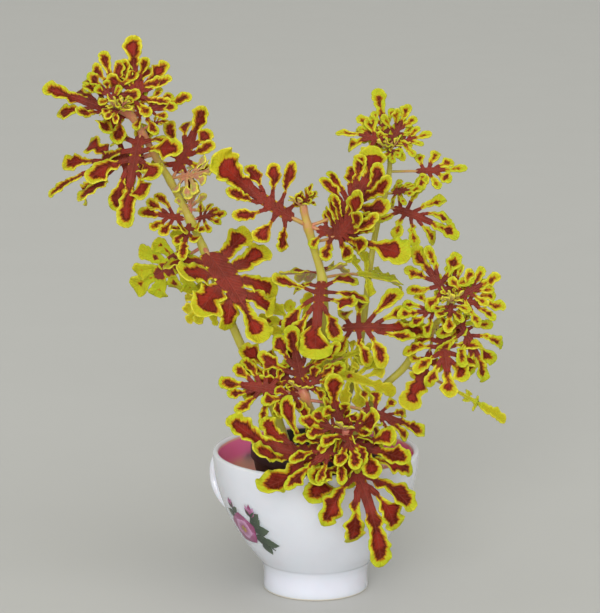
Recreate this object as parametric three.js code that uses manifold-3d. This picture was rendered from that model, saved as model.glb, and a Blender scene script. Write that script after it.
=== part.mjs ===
// Coleus with deeply cut, yellow-edged leaves, in a small nursery pot that stands in a footed cup.
// Millimetres, +Z up. The origin is the centre of the cup's foot, on the surface that it stands on.
// +X is to the right, +Y is away from the front, headings turn from +X towards +Y.

import * as THREE from 'three';
import { mergeVertices } from 'three/addons/utils/BufferGeometryUtils.js';
import Module from 'manifold-3d';

const wasm = await Module();
wasm.setup();

// ---------------------------------------------------------------- driving sizes

const CUP = {
  rimRadius: 43, height: 59.5, footRadius: 22.4, footHeight: 12, wall: 3, rimWall: 2.2,
  floorHeight: 9.5, bowlCurve: 0.85, sides: 28,
};
const HANDLE = { heading: 135, width: 5.4, thickness: 4.2, sides: 8, steps: 14 };
// route of the handle's centre line: distance from the cup's axis, height
const HANDLE_ROUTE = [
  [41, 46.7], [48, 50], [56.5, 48], [61.3, 41], [60.6, 32], [54, 25.2], [44, 22.6], [29.6, 21.2],
];
const POT = {
  floor: 9.8, top: 61.6, baseRadius: 17.2, topRadius: 26.2, wall: 1.4, band: 1, bandHeight: 5.2,
  sides: 20,
};
const SOIL = { top: 56.2, mound: 1.2, bumps: 0.7, gap: 0.3, sides: 16, rings: [0.8, 0.42] };
const HOLE_CLEARANCE = 0.4;
const STEM_SIDES = 6;
const BLADE = 0.75;
const RACHIS_STEPS = 30;
const LOBE_STEPS = 24;

// Leaf forms, as shares of the leaf's length.
// pairs: lobes on each side; web: half width of the undivided middle
// lobe, width: size of a side lobe; root: half width where it leaves the middle; neck: its narrow part
// tip, tipWidth: the end lobe; first, last: where the lobes stand; swing: their angles to the midrib
// profile: relative lobe lengths from the base; rows: where a lobe's outline is set out
const FORMS = {
  broad: {
    pairs: 4, web: 0.13, lobe: 0.38, width: 0.205, root: 0.055, neck: 0.68, tip: 0.43, tipWidth: 0.27,
    first: 0.08, last: 0.52, swing: [128, 36], profile: [0.9, 1, 1, 0.88], rows: [0.5, 0.94],
  },
  palm: {
    pairs: 4, web: 0.09, lobe: 0.46, width: 0.185, root: 0.042, neck: 0.38, tip: 0.5, tipWidth: 0.23,
    first: 0.07, last: 0.42, swing: [124, 32], profile: [0.8, 1, 1, 0.85], rows: [0.6, 0.95],
  },
  cut: {
    pairs: 4, web: 0.06, lobe: 0.5, width: 0.17, root: 0.032, neck: 0.28, tip: 0.54, tipWidth: 0.2,
    first: 0.06, last: 0.38, swing: [116, 28], profile: [0.74, 0.98, 1, 0.88], rows: [0.6, 0.95],
  },
  fan: {
    pairs: 4, web: 0.08, lobe: 0.52, width: 0.19, root: 0.04, neck: 0.44, tip: 0.56, tipWidth: 0.24,
    first: 0.08, last: 0.36, swing: [80, 22], profile: [0.8, 0.95, 1, 0.9], rows: [0.6, 0.95],
  },
  fine: {
    pairs: 3, web: 0.065, lobe: 0.54, width: 0.2, root: 0.042, neck: 0.38, tip: 0.58, tipWidth: 0.22,
    first: 0.1, last: 0.36, swing: [106, 30], profile: [0.82, 1, 0.9], rows: [0.85],
  },
  bud: {
    pairs: 2, web: 0.06, lobe: 0.5, width: 0.24, root: 0.055, neck: 0.48, tip: 0.6, tipWidth: 0.27,
    first: 0.15, last: 0.33, swing: [88, 36], profile: [0.95, 0.9], rows: [0.85],
  },
};
// narrow part of the end lobe, as a share of its half width
const TIP_NECK = 0.46;
// where an end lobe's outline is set out
const TIP_ROWS = [0.35, 0.74, 0.985];
// leaves shorter than this have simpler outlines
const SMALL_LEAF = 40;
const SMALL_ROWS = [0.85];
const SMALL_TIP_ROWS = [0.5, 0.97];

// Leafy stems. path: the stem's centre line from its foot in the soil; radii: at foot and tip.
// Leaf columns: height on the stem, heading, slope of its chord, droop along it, roll about it, sway,
// blade length, petiole length, form; angles in degrees; the last column changes single form values,
// besides those lobes (scale of the side lobes) and cup (how far they lift).
const SHOOTS = [
  {
    name: 'left_shoot', radii: [2.1, 1.2],
    path: [[-9, 3, 50], [-19, 6, 79], [-30, 6, 100], [-38, 5, 120], [-46, 3, 143], [-52.5, 2, 158],
      [-59.5, 0, 172.5], [-66, -2, 184], [-71, -4, 194], [-75, -5.5, 200.5], [-80, -8, 204]],
    leaves: [
      [144, 312, -44, 30, 8, 0, 46, 5, 'broad'],
      [144, 159, -32, 40, -100, 0, 32, 6, 'broad', { lobes: 0.9 }],
      [156, 206, 12, 20, -60, 0, 20, 4, 'fine'],
      [156, 331, 14, 20, 60, 0, 14, 4, 'fine'],
      [156, 261, -37, 30, 0, 0, 20, 3, 'bud', { tipWidth: 0.2, lobes: 0.75 }],
      [156, 282, 83, 10, 10, 0, 14, 3, 'fine'],
      [172, 16, 65, -20, 52, 0, 29, 5, 'palm'],
      [173, 328, 17, 40, 228, 0, 19, 5, 'palm'],
      [184, 170, -23, 50, -45, 0, 45, 5, 'cut', { tipWidth: 0.1 }],
      [193, 253, -63, 35, 0, 0, 39, 3, 'cut', { tipWidth: 0.2, tipNeck: 0.4, width: 0.19 }],
      [193, 349, 20, 60, 40, 0, 8, 5, 'fine', { lobes: 0.6 }],
      [199, 181, 19, 10, -50, 0, 35, 4, 'cut'],
      [199, 92, 78, -10, 0, 0, 28, 6, 'fine', { tipWidth: 0.25, lobes: 0.75 }],
      [200, 3, 18, 0, 55, 0, 24, 2, 'cut', { lobes: 0.8 }],
      [203, 131, 61, -5, -34, 0, 22, 4, 'fine'],
      [203, 32, 40, -5, 46, 0, 24, 4, 'fine'],
      [203, 175, 48, 10, -64, 0, 16, 4, 'bud', { lobes: 0.7 }],
      [203, 250, -7, 40, -10, 0, 14, 2, 'fine'],
      [128, 172, -53, 30, -75, 0, 16, 5, 'fine', { lobes: 1.15, width: 0.24, tipWidth: 0.26 }],
    ],
  },
  {
    name: 'centre_shoot', radii: [2.2, 1.6],
    path: [[1, 4, 50], [3, 5, 70], [4.3, 4, 90], [3.8, 3, 110], [2.5, 2, 131.9], [-1.2, 1, 146],
      [-4.5, 0, 158.3], [-5.4, 0, 163]],
    leaves: [
      [110, 4, -3, 30, 45, 0, 36, 8, 'cut'],
      [110, 170, 6, 30, -72, 0, 24, 5, 'palm'],
      [131, 264, -43, 45, 0, 0, 39, 3, 'cut', { tip: 0.46, tipWidth: 0.34, tipNeck: 0.3 }],
      [131, 44, -10, 30, 31, 0, 27, 20, 'fine'],
      [153, 201, 38, 0, -73, -20, 44, 8, 'cut', { tip: 0.52, tipWidth: 0.31, lobes: 0.78, width: 0.145 }],
      [153, 346, -14, 20, 46, 10, 40, 5, 'cut', { tip: 0.58, tipWidth: 0.31, tipNeck: 0.25, lobes: 0.5 }],
      [154, 8, 52, -10, 63, 80, 31, 15, 'fan', { tipWidth: 0.27 }],
      [147, 317, 45, -10, 94, 80, 26, 12, 'fan', { lobes: 1.05 }],
      [161, 31, 69, 0, 0, 0, 9, 2, 'bud'],
      [131, 100, -15, 50, 0, 0, 27, 8, 'fine'],
      [92, 356, -18, 30, 58, 0, 25, 6, 'palm'],
      [94, 1, 22, 0, 60, 0, 13, 8, 'palm'],
      [96, 32, -29, 10, 71, 0, 11, 3, 'fine'],
    ],
  },
  {
    name: 'rear_shoot', radii: [1.8, 1],
    path: [[7, 12, 50], [12, 18, 70], [17, 22, 90], [20, 25, 106], [23, 27, 132], [26.2, 28, 151],
      [29.6, 29, 164], [31, 30, 173], [31, 30, 182]],
    leaves: [
      [157, 345, -21, 40, 45, 0, 30, 6, 'cut'],
      [161, 330, 12, 10, 45, 0, 14, 4, 'fine'],
      [171, 353, 4, -10, 58, 0, 21, 12, 'fine', { tipWidth: 0.17, lobes: 0.85 }],
      [180, 123, 69, -10, -29, 0, 24, 3, 'fine', { tip: 0.66, tipWidth: 0.25, lobes: 0.62 }],
      [181, 14, 65, 10, 64, 0, 17, 3, 'fine'],
      [181, 354, 20, 20, 50, 0, 16, 3, 'fine'],
      [181, 185, 15, 60, -40, 0, 22, 3, 'fine', { tipWidth: 0.14 }],
      [181, 149, 38, 30, -47, 0, 17, 3, 'fine'],
      [181, 275, -22, 40, 0, 0, 11, 2, 'bud'],
    ],
  },
  {
    name: 'right_shoot', radii: [1.9, 1.1],
    path: [[13, 4, 50], [19, 11, 68], [28, 14, 82], [37.6, 14, 91.7], [43.7, 12, 103.4],
      [49.7, 9, 110.5], [54.5, 6, 117.5], [56.5, 3, 122.4]],
    leaves: [
      [
        91.5, 20, -31, 30, 69, 0, 28, 27, 'bud',
        { tip: 0.95, tipWidth: 0.16, tipNeck: 0.8, lobes: 0.14, web: 0.03 },
      ],
      [109, 237, -52, 20, -28, -30, 27, 12, 'bud', { tip: 0.75, tipWidth: 0.34, lobes: 0.5 }],
      [111, 282, -49, 40, 0, 0, 28, 8, 'palm', { lobes: 1.1 }],
      [117, 202, -2, 30, -50, 0, 20, 3, 'fine'],
      [118, 353, -64, 60, 47, 0, 29, 7, 'cut'],
      [121.5, 165, 53, -10, -59, 0, 25, 3, 'fine', { tipWidth: 0.26 }],
      [121.5, 75, 63, 10, 0, 0, 16, 3, 'fine'],
      [121.5, 1, 29, 20, 61, 0, 19, 4, 'fine'],
      [121.5, 262, -33, 40, 0, 0, 17, 2, 'bud'],
      [106, 75, -15, 50, 0, 0, 27, 6, 'fine'],
      [121.5, 351, -5, 30, 50, 0, 20, 3, 'fine'],
    ],
  },
  {
    name: 'front_shoot', radii: [1.9, 1.3],
    path: [[6, -13, 50], [6.5, -18, 60], [8, -26, 66.5], [10, -33, 69.5], [11.5, -39, 74],
      [12, -42, 79]],
    leaves: [
      [69.5, 302, -56, 70, 10, 0, 53, 3, 'cut', { width: 0.165, tipWidth: 0.18, web: 0.05 }],
      [69.5, 195, 19, 0, -52, -70, 49, 4, 'cut'],
      [77, 242, 69, 0, -141, -30, 28, 1, 'bud', { tip: 0.8, tipWidth: 0.27, lobes: 0.5 }],
      [77, 201, 20, 30, -60, 0, 20, 2, 'fine'],
      [77, 315, 28, 20, 63, 0, 20, 1, 'bud', { tip: 0.75, tipWidth: 0.42, lobes: 0.8 }],
      [77, 282, -31, 40, 0, 0, 20, 1, 'bud', { lobes: 1.2 }],
      [72, 320, -3, 10, 40, 0, 32, 2, 'bud', { tipWidth: 0.24, width: 0.27, lobes: 0.92 }],
      [74, 223, -24, 40, -41, 0, 35, 2, 'fine', { tipWidth: 0.14, lobes: 0.88, width: 0.125 }],
    ],
  },
  {
    name: 'middle_shoot', radii: [1.9, 1.4],
    path: [[-4, -8, 50], [-1, -13, 66], [-1, -17, 77], [-4, -22, 86], [-6, -23, 91]],
    leaves: [
      [88, 192, 11, 10, -60, 0, 24, 12, 'palm', { lobes: 1.2 }],
      [86, 13, -19, 40, 50, 0, 30, 24, 'cut', { lobes: 0.8 }],
      [87, 196, 78, -10, -98, 0, 29, 2, 'palm', { lobes: 1.25 }],
      [88, 209, -3, 20, -53, 0, 18, 2, 'bud', { lobes: 0.7 }],
      [88, 151, 29, 20, -48, 0, 30, 4, 'fine'],
      [89, 3, 44, 20, 64, 0, 15, 2, 'bud'],
    ],
  },
];

// ---------------------------------------------------------------- small helpers

const radians = THREE.MathUtils.degToRad;
const lerp = THREE.MathUtils.lerp;
const smooth = (from, to, x) => THREE.MathUtils.smoothstep(x, from, to);

/** Repeatable number from 0 to 1 for one feature of the leaf with this seed. */
function draw(seed, feature) {
  const x = Math.sin(seed * 78.233 + feature * 12.9898) * 43758.5453;
  return x - Math.floor(x);
}

const spread = (seed, feature) => draw(seed, feature) * 2 - 1;

/** Closed geometry as a solid for cutting and joining. */
function toSolid(geometry) {
  const bare = geometry.clone();
  bare.deleteAttribute('normal');
  bare.deleteAttribute('uv');
  const merged = mergeVertices(bare, 1e-4);
  const vertProperties = new Float32Array(merged.attributes.position.array);
  const triVerts = new Uint32Array(merged.index.array);
  return new wasm.Manifold(new wasm.Mesh({ numProp: 3, vertProperties, triVerts }));
}

/** A solid back as geometry. */
function toGeometry(solid) {
  const mesh = solid.getMesh();
  const geometry = new THREE.BufferGeometry();
  geometry.setAttribute('position', new THREE.BufferAttribute(mesh.vertProperties, 3));
  geometry.setIndex(new THREE.BufferAttribute(mesh.triVerts, 1));
  geometry.computeVertexNormals();
  return geometry;
}

/** Geometry from a list of points and a list of triangles. */
function fromTriangles(points, triangles) {
  const geometry = new THREE.BufferGeometry();
  const positions = points.flatMap((p) => p.toArray());
  geometry.setAttribute('position', new THREE.Float32BufferAttribute(positions, 3));
  geometry.setIndex(triangles.flat());
  return geometry;
}

/** Solid of revolution about +Z from [radius, height] points that start and end on the axis. */
function turned(profile, sides) {
  const geometry = new THREE.LatheGeometry(profile.map(([r, z]) => new THREE.Vector2(r, z)), sides);
  geometry.rotateX(Math.PI / 2);
  return geometry;
}

/** Round bar along a curve that narrows from one radius to the other, closed at both ends. */
function taperedBar(curve, footRadius, tipRadius, sides, steps) {
  const points = [];
  const triangles = [];
  const frames = curve.computeFrenetFrames(steps, false);
  for (let i = 0; i <= steps; i += 1) {
    const centre = curve.getPointAt(i / steps);
    const radius = lerp(footRadius, tipRadius, i / steps);
    for (let k = 0; k < sides; k += 1) {
      const angle = (2 * Math.PI * k) / sides;
      const point = centre.clone();
      point.addScaledVector(frames.normals[i], radius * Math.cos(angle));
      point.addScaledVector(frames.binormals[i], radius * Math.sin(angle));
      points.push(point);
    }
  }
  for (let i = 0; i < steps; i += 1) {
    for (let k = 0; k < sides; k += 1) {
      const next = (k + 1) % sides;
      const [a, b] = [i * sides + k, i * sides + next];
      const [c, d] = [a + sides, b + sides];
      triangles.push([a, b, d], [a, d, c]);
    }
  }
  const foot = points.push(curve.getPointAt(0)) - 1;
  const tip = points.push(curve.getPointAt(1)) - 1;
  const last = steps * sides;
  for (let k = 0; k < sides; k += 1) {
    const next = (k + 1) % sides;
    triangles.push([foot, next, k], [tip, last + k, last + next]);
  }
  return fromTriangles(points, triangles);
}

// ---------------------------------------------------------------- leaves

/** Frames along a midrib: position, direction, left and up, each turned a little from the one before. */
function midribFrames(base, leaf) {
  const [heading, slope, roll] = [radians(leaf.heading), radians(leaf.slope), radians(leaf.roll)];
  let along = new THREE.Vector3(
    Math.cos(slope) * Math.cos(heading), Math.cos(slope) * Math.sin(heading), Math.sin(slope),
  );
  let left = new THREE.Vector3(-Math.sin(heading), Math.cos(heading), 0);
  let up = new THREE.Vector3().crossVectors(along, left);
  const turn = (a, b, angle) => {
    const [c, s] = [Math.cos(angle), Math.sin(angle)];
    const first = a.clone().multiplyScalar(c).addScaledVector(b, s);
    const second = b.clone().multiplyScalar(c).addScaledVector(a, -s);
    return [first, second];
  };
  [left, up] = turn(left, up, roll);
  [along, up] = turn(along, up, radians(leaf.droop) / 2);
  [along, left] = turn(along, left, -radians(leaf.sway) / 2);
  const position = base.clone();
  const frames = [{ position: position.clone(), along, left, up }];
  const stride = (leaf.length + leaf.petiole) / RACHIS_STEPS;
  for (let i = 0; i < RACHIS_STEPS; i += 1) {
    position.addScaledVector(along, stride);
    [along, up] = turn(along, up, -radians(leaf.droop) / RACHIS_STEPS);
    [along, left] = turn(along, left, radians(leaf.sway) / RACHIS_STEPS);
    frames.push({ position: position.clone(), along, left, up });
  }
  return { frames, stride };
}

/** Point of the curved leaf from its place on the flat one: along, to the left, above. */
function onMidrib({ frames, stride }, along, side, above) {
  const place = along / stride;
  const i = THREE.MathUtils.clamp(Math.floor(place), 0, RACHIS_STEPS - 1);
  const share = THREE.MathUtils.clamp(place - i, 0, 1);
  const [near, far] = [frames[i], frames[i + 1]];
  const point = near.position.clone().lerp(far.position, share);
  point.addScaledVector(near.along, (place - i - share) * stride);
  point.addScaledVector(near.left.clone().lerp(far.left, share), side);
  point.addScaledVector(near.up.clone().lerp(far.up, share), above);
  return point;
}

/** Half width of a lobe at share s of its length. */
function lobeHalfWidth(s, width, root, neck) {
  const body = neck + (1 - neck) * smooth(0.28, 0.75, s);
  const half = lerp(root, (width / 2) * body, smooth(0, 0.12, s));
  return s > 0.8 ? half * Math.sqrt(Math.max(0, 1 - ((s - 0.8) / 0.2) ** 2)) : half;
}

/** Half width of the undivided middle at share u of the leaf. */
function webHalfWidth(leaf, u) {
  const swell = Math.sin(Math.PI * Math.min(1, 0.15 + Math.max(0, u) / 0.72) ** 0.9);
  return leaf.length * leaf.web * (0.5 + 0.5 * swell);
}

/** Centre line of one side lobe on the flat leaf: points with the lobe's direction. */
function lobeLine(leaf, share, index, side, rootAt, rootSide) {
  const feature = 20 * index + (side > 0 ? 10 : 0);
  const { seed } = leaf;
  const angle = radians(lerp(leaf.swing[0], leaf.swing[1], share) + 5 * spread(seed, feature));
  const size = leaf.length * leaf.lobe * leaf.profile[index] * leaf.lobes;
  const length = size * (1 + 0.14 * spread(seed, feature + 1));
  const slim = Math.min(1, 0.4 + 0.6 * leaf.lobes);
  const width = leaf.length * leaf.width * (1 + 0.12 * spread(seed, feature + 2)) * slim;
  const lift = radians(leaf.cup + 20 * spread(seed, feature + 3));
  const curl = radians(-26 + 44 * spread(seed, feature + 4));
  const bend = radians(-16 + 22 * spread(seed, feature + 5));
  const twist = radians(30 * spread(seed, feature + 11));
  let [a, b, c] = [rootAt, rootSide, 0];
  const line = [[a, b, c, angle]];
  const step = length / LOBE_STEPS;
  for (let i = 0; i < LOBE_STEPS; i += 1) {
    const s = (i + 0.5) / LOBE_STEPS;
    const heading = angle + bend * s;
    const rise = lift + curl * s;
    a += Math.cos(heading) * Math.cos(rise) * step;
    b += side * Math.sin(heading) * Math.cos(rise) * step;
    c += Math.sin(rise) * step;
    line.push([a, b, c, angle + (bend * (i + 1)) / LOBE_STEPS]);
  }
  return { line, width, twist };
}

/** Middle surface of a leaf, as points and triangles: a midrib strip with lobes that share its edge. */
function leafSurface(base, leaf) {
  const curve = midribFrames(base, leaf);
  const points = [];
  const triangles = [];
  const addPoint = (a, b, c) => points.push(onMidrib(curve, a + leaf.petiole, b, c)) - 1;
  const addStrip = ([left0, right0], [left1, right1]) => {
    triangles.push([left0, right0, right1], [left0, right1, left1]);
  };
  const { length, pairs } = leaf;
  const petioleHalf = Math.max(0.6, 0.018 * length);
  const stations = [[-leaf.petiole, petioleHalf]];
  if (leaf.petiole > 7) stations.push([-leaf.petiole / 2, petioleHalf]);
  const rootHalf = leaf.root * length;
  if (leaf.first * length - rootHalf > 0.01 * length) stations.push([0, petioleHalf]);
  const roots = [];
  for (let i = 0; i < pairs; i += 1) {
    const middle = lerp(leaf.first, leaf.last, i / (pairs - 1)) * length;
    roots.push(stations.length);
    for (const at of [middle - rootHalf, middle + rootHalf]) {
      stations.push([at, webHalfWidth(leaf, at / length)]);
    }
  }
  const [lastAt, lastHalf] = stations[stations.length - 1];
  const rows = stations.map(([at, half]) => [half, -half].map((b) => addPoint(at, b, 0.06 * half)));
  const tipAt = Math.max((1 - leaf.tip) * length, lastAt + 0.012 * length);
  for (const s of length < SMALL_LEAF ? SMALL_TIP_ROWS : TIP_ROWS) {
    const half = lobeHalfWidth(s, length * leaf.tipWidth, lastHalf, leaf.tipNeck);
    const at = lerp(tipAt, length, s);
    rows.push([addPoint(at, half, 0.1 * half), addPoint(at, -half, 0.1 * half)]);
  }
  for (let i = 0; i + 1 < rows.length; i += 1) addStrip(rows[i], rows[i + 1]);
  roots.forEach((start, index) => {
    for (const side of [1, -1]) {
      const [[at0, half0], [at1, half1]] = [stations[start], stations[start + 1]];
      const share = index / (pairs - 1);
      const rootSide = (side * (half0 + half1)) / 2;
      const { line, width, twist } = lobeLine(leaf, share, index, side, (at0 + at1) / 2, rootSide);
      const edge = side > 0 ? 0 : 1;
      let previous = [rows[start][edge], rows[start + 1][edge]];
      for (const s of length < SMALL_LEAF ? SMALL_ROWS : leaf.rows) {
        const place = s * LOBE_STEPS;
        const i = Math.min(Math.floor(place), LOBE_STEPS - 1);
        const [a, b, c, angle] = line[i].map((value, k) => lerp(value, line[i + 1][k], place - i));
        const half = lobeHalfWidth(s, width, (at1 - at0) / 2, leaf.neck);
        const [level, dc] = [half * Math.cos(twist * s), half * Math.sin(twist * s)];
        const [da, db] = [Math.sin(angle) * level, -side * Math.cos(angle) * level];
        const row = [addPoint(a - da, b - db, c - dc), addPoint(a + da, b + db, c + dc)];
        if (side > 0) addStrip(previous, row);
        else addStrip([previous[1], previous[0]], [row[1], row[0]]);
        previous = row;
      }
    }
  });
  return { points, triangles };
}

/** Closed blade round a middle surface: both faces share its triangles, with a rim between them. */
function thicken({ points, triangles }, thickness) {
  const normals = points.map(() => new THREE.Vector3());
  const edges = new Map();
  for (const [a, b, c] of triangles) {
    const ab = points[b].clone().sub(points[a]);
    const ac = points[c].clone().sub(points[a]);
    const normal = ab.cross(ac);
    for (const v of [a, b, c]) normals[v].add(normal);
    for (const [from, to] of [[a, b], [b, c], [c, a]]) edges.set(`${from},${to}`, [from, to]);
  }
  for (const normal of normals) normal.setLength(thickness / 2);
  const upper = points.map((p, i) => p.clone().add(normals[i]));
  const lower = points.map((p, i) => p.clone().sub(normals[i]));
  const count = points.length;
  const solid = [];
  for (const [a, b, c] of triangles) solid.push([a, b, c], [a + count, c + count, b + count]);
  for (const [from, to] of edges.values()) {
    if (!edges.has(`${to},${from}`)) solid.push([to, from, from + count], [to, from + count, to + count]);
  }
  return fromTriangles([...upper, ...lower], solid);
}

/** One leafy stem: the stem with all its leaves, fused. */
function leafyStem({ name, path, radii, leaves }, shootNumber) {
  const curve = new THREE.CatmullRomCurve3(path.map((p) => new THREE.Vector3(...p)));
  const samples = curve.getSpacedPoints(200);
  let solid = toSolid(taperedBar(curve, radii[0], radii[1], STEM_SIDES, path.length + 1));
  leaves.forEach((row, index) => {
    const [at, heading, slope, droop, roll, sway, length, petiole, form, changes] = row;
    const base = samples.find((p) => p.z >= at) ?? samples[samples.length - 1];
    const seed = 20 * (shootNumber + 1) + index + 0.5;
    const leaf = {
      lobes: 1, cup: 10, tipNeck: TIP_NECK, ...FORMS[form],
      heading, slope, droop, roll, sway, length, petiole, seed, ...changes,
    };
    solid = solid.add(toSolid(thicken(leafSurface(base, leaf), BLADE)));
  });
  const whole = solid.decompose().reduce((a, b) => (b.volume() > a.volume() ? b : a));
  return { name, curve, radii, geometry: toGeometry(whole) };
}

// ---------------------------------------------------------------- cup, pot and soil

/** Outer radius of the cup's bowl at a height. */
function bowlRadius(z) {
  const share = (z - CUP.footHeight) / (CUP.height - CUP.footHeight);
  return lerp(CUP.footRadius, CUP.rimRadius, Math.sin((Math.PI / 2) * share ** CUP.bowlCurve));
}

function cupGeometry() {
  const { footRadius, footHeight, height, wall, rimWall, floorHeight } = CUP;
  const profile = [[0, 0], [footRadius - 1.2, 0], [footRadius - 0.3, 0.8], [footRadius - 0.7, 5]];
  const levels = [0, 0.12, 0.3, 0.56, 0.97].map((share) => lerp(footHeight, height, share));
  for (const z of levels) profile.push([bowlRadius(z), z]);
  profile.push([CUP.rimRadius - 0.5, height - 0.2], [CUP.rimRadius - 1.3, height]);
  for (const z of levels.slice(1).reverse()) {
    const thick = lerp(wall, rimWall, z / height);
    profile.push([bowlRadius(z) - thick - 0.5 * (1 - z / height), z]);
  }
  profile.push([footRadius - 3.8, floorHeight + 0.8], [footRadius - 4.4, floorHeight], [0, floorHeight]);
  return turned(profile, CUP.sides);
}

function handleGeometry() {
  const heading = radians(HANDLE.heading);
  const outward = new THREE.Vector3(Math.cos(heading), Math.sin(heading), 0);
  const route = HANDLE_ROUTE.map(([r, z]) => outward.clone().multiplyScalar(r).setZ(z));
  const section = new THREE.Shape();
  section.absellipse(0, 0, HANDLE.thickness / 2, HANDLE.width / 2, 0, 2 * Math.PI);
  return new THREE.ExtrudeGeometry(section, {
    extrudePath: new THREE.CatmullRomCurve3(route), steps: HANDLE.steps, curveSegments: HANDLE.sides,
  });
}

function potGeometry() {
  const { floor, top, baseRadius, topRadius, wall, band, bandHeight } = POT;
  const bandFoot = top - bandHeight;
  return turned([
    [0, floor], [baseRadius, floor], [baseRadius + 0.5, floor + 0.8], [topRadius, bandFoot],
    [topRadius + band, bandFoot + 0.4], [topRadius + band, top - 0.3], [topRadius + band - 0.4, top],
    [topRadius - wall + 0.6, top], [topRadius - wall, bandFoot],
    [baseRadius - wall + 0.4, floor + wall], [0, floor + wall],
  ], POT.sides);
}

/** Soil that fills the pot to its mounded, uneven top, with a plain hole for each stem. */
function soilGeometry(stems) {
  const bottom = POT.floor + POT.wall + SOIL.gap;
  const share = (SOIL.top - POT.floor) / (POT.top - POT.bandHeight - POT.floor);
  const wide = lerp(POT.baseRadius, POT.topRadius, share) - POT.wall - SOIL.gap - 0.2;
  const narrow = POT.baseRadius - POT.wall - SOIL.gap;
  const levelAt = (ring) => SOIL.top + SOIL.mound * (1 - ring * ring);
  const mound = [1, ...SOIL.rings, 0].map((ring) => [wide * ring, levelAt(ring)]);
  const geometry = turned([[0, bottom], [narrow, bottom], ...mound], SOIL.sides);
  const { position } = geometry.attributes;
  for (let i = 0; i < position.count; i += 1) {
    const [x, y, z] = [position.getX(i), position.getY(i), position.getZ(i)];
    const inside = smooth(wide, wide * 0.8, Math.hypot(x, y));
    const lump = Math.sin(x * 0.7 + 1) * Math.cos(y * 0.6) + 0.5 * Math.sin(x * 1.7 - y * 1.3);
    if (z > SOIL.top - 1) position.setZ(i, z + SOIL.bumps * lump * inside);
  }
  let solid = toSolid(geometry);
  for (const { curve, radii } of stems) {
    const buried = curve.getSpacedPoints(60).filter((p) => p.z < SOIL.top + 6);
    const lead = buried[0].clone().lerp(buried[1], -HOLE_CLEARANCE / buried[0].distanceTo(buried[1]));
    const line = new THREE.CatmullRomCurve3([lead, ...buried]);
    const clear = radii[0] + HOLE_CLEARANCE;
    solid = solid.subtract(toSolid(taperedBar(line, clear, clear, STEM_SIDES, 4)));
  }
  return toGeometry(solid);
}

// ---------------------------------------------------------------- assembly

const material = (color, roughness) => new THREE.MeshStandardMaterial({ color, roughness, metalness: 0 });
const porcelain = material(0xefedea, 0.15);
const blackPlastic = material(0x26241f, 0.5);
const earth = material(0x3a2a1e, 0.95);
const foliage = material(0x7a2226, 0.6);

function piece(name, geometry, finish) {
  const mesh = new THREE.Mesh(geometry, finish);
  mesh.name = name;
  return mesh;
}

const coleus = new THREE.Group();
const stems = SHOOTS.map(leafyStem);
const cup = toSolid(cupGeometry()).add(toSolid(handleGeometry()));
coleus.add(piece('cup', toGeometry(cup), porcelain));
coleus.add(piece('nursery_pot', potGeometry(), blackPlastic));
coleus.add(piece('soil', soilGeometry(stems), earth));
for (const { name, geometry } of stems) coleus.add(piece(name, geometry, foliage));

export default coleus;
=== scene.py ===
"""A coleus with deeply cut, yellow-edged leaves, in a nursery pot that stands in a footed porcelain cup."""

import math
from functools import partial

import bpy
import numpy as np
from bpy.props import FloatProperty, FloatVectorProperty, PointerProperty
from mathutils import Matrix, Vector


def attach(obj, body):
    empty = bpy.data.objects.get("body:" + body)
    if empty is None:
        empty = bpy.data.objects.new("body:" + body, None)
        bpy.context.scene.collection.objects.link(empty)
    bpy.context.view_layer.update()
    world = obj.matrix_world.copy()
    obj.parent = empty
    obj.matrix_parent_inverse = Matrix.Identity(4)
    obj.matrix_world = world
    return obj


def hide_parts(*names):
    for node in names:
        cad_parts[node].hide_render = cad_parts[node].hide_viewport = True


bl_info = {
    "name": "Coleus in a Cup",
    "version": (1, 0, 0),
    "blender": (4, 5, 0),
    "location": "View3D > Sidebar > Coleus",
    "description": "Builds a potted coleus, its cup and a plain studio",
    "category": "Add Mesh",
}

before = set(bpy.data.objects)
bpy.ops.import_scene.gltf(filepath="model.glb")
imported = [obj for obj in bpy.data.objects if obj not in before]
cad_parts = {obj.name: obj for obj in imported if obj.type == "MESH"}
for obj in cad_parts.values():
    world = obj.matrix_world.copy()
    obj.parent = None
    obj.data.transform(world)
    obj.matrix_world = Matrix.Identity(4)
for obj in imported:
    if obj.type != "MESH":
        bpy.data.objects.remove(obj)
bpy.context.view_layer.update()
BODY = "root"
MM = 0.001


def linear(hex_colour):
    """An #rrggbb sRGB colour as a linear RGB triple."""
    values = [int(hex_colour[i : i + 2], 16) / 255 for i in (1, 3, 5)]
    return tuple(v / 12.92 if v <= 0.04045 else ((v + 0.055) / 1.055) ** 2.4 for v in values)


def colour(label, text, hex_colour):
    """Colour property with an sRGB default."""
    return FloatVectorProperty(
        name=label, description=text, subtype="COLOR", size=3, min=0, max=1, default=linear(hex_colour)
    )


def size(label, text, millimetres):
    """Length property with a default in millimetres."""
    return FloatProperty(name=label, description=text, unit="LENGTH", min=0, default=millimetres * MM)


def in_mm(settings, name):
    """A length property's value in millimetres."""
    return getattr(settings, name) / MM


# ---------------------------------------------------------------- sizes and colours


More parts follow.
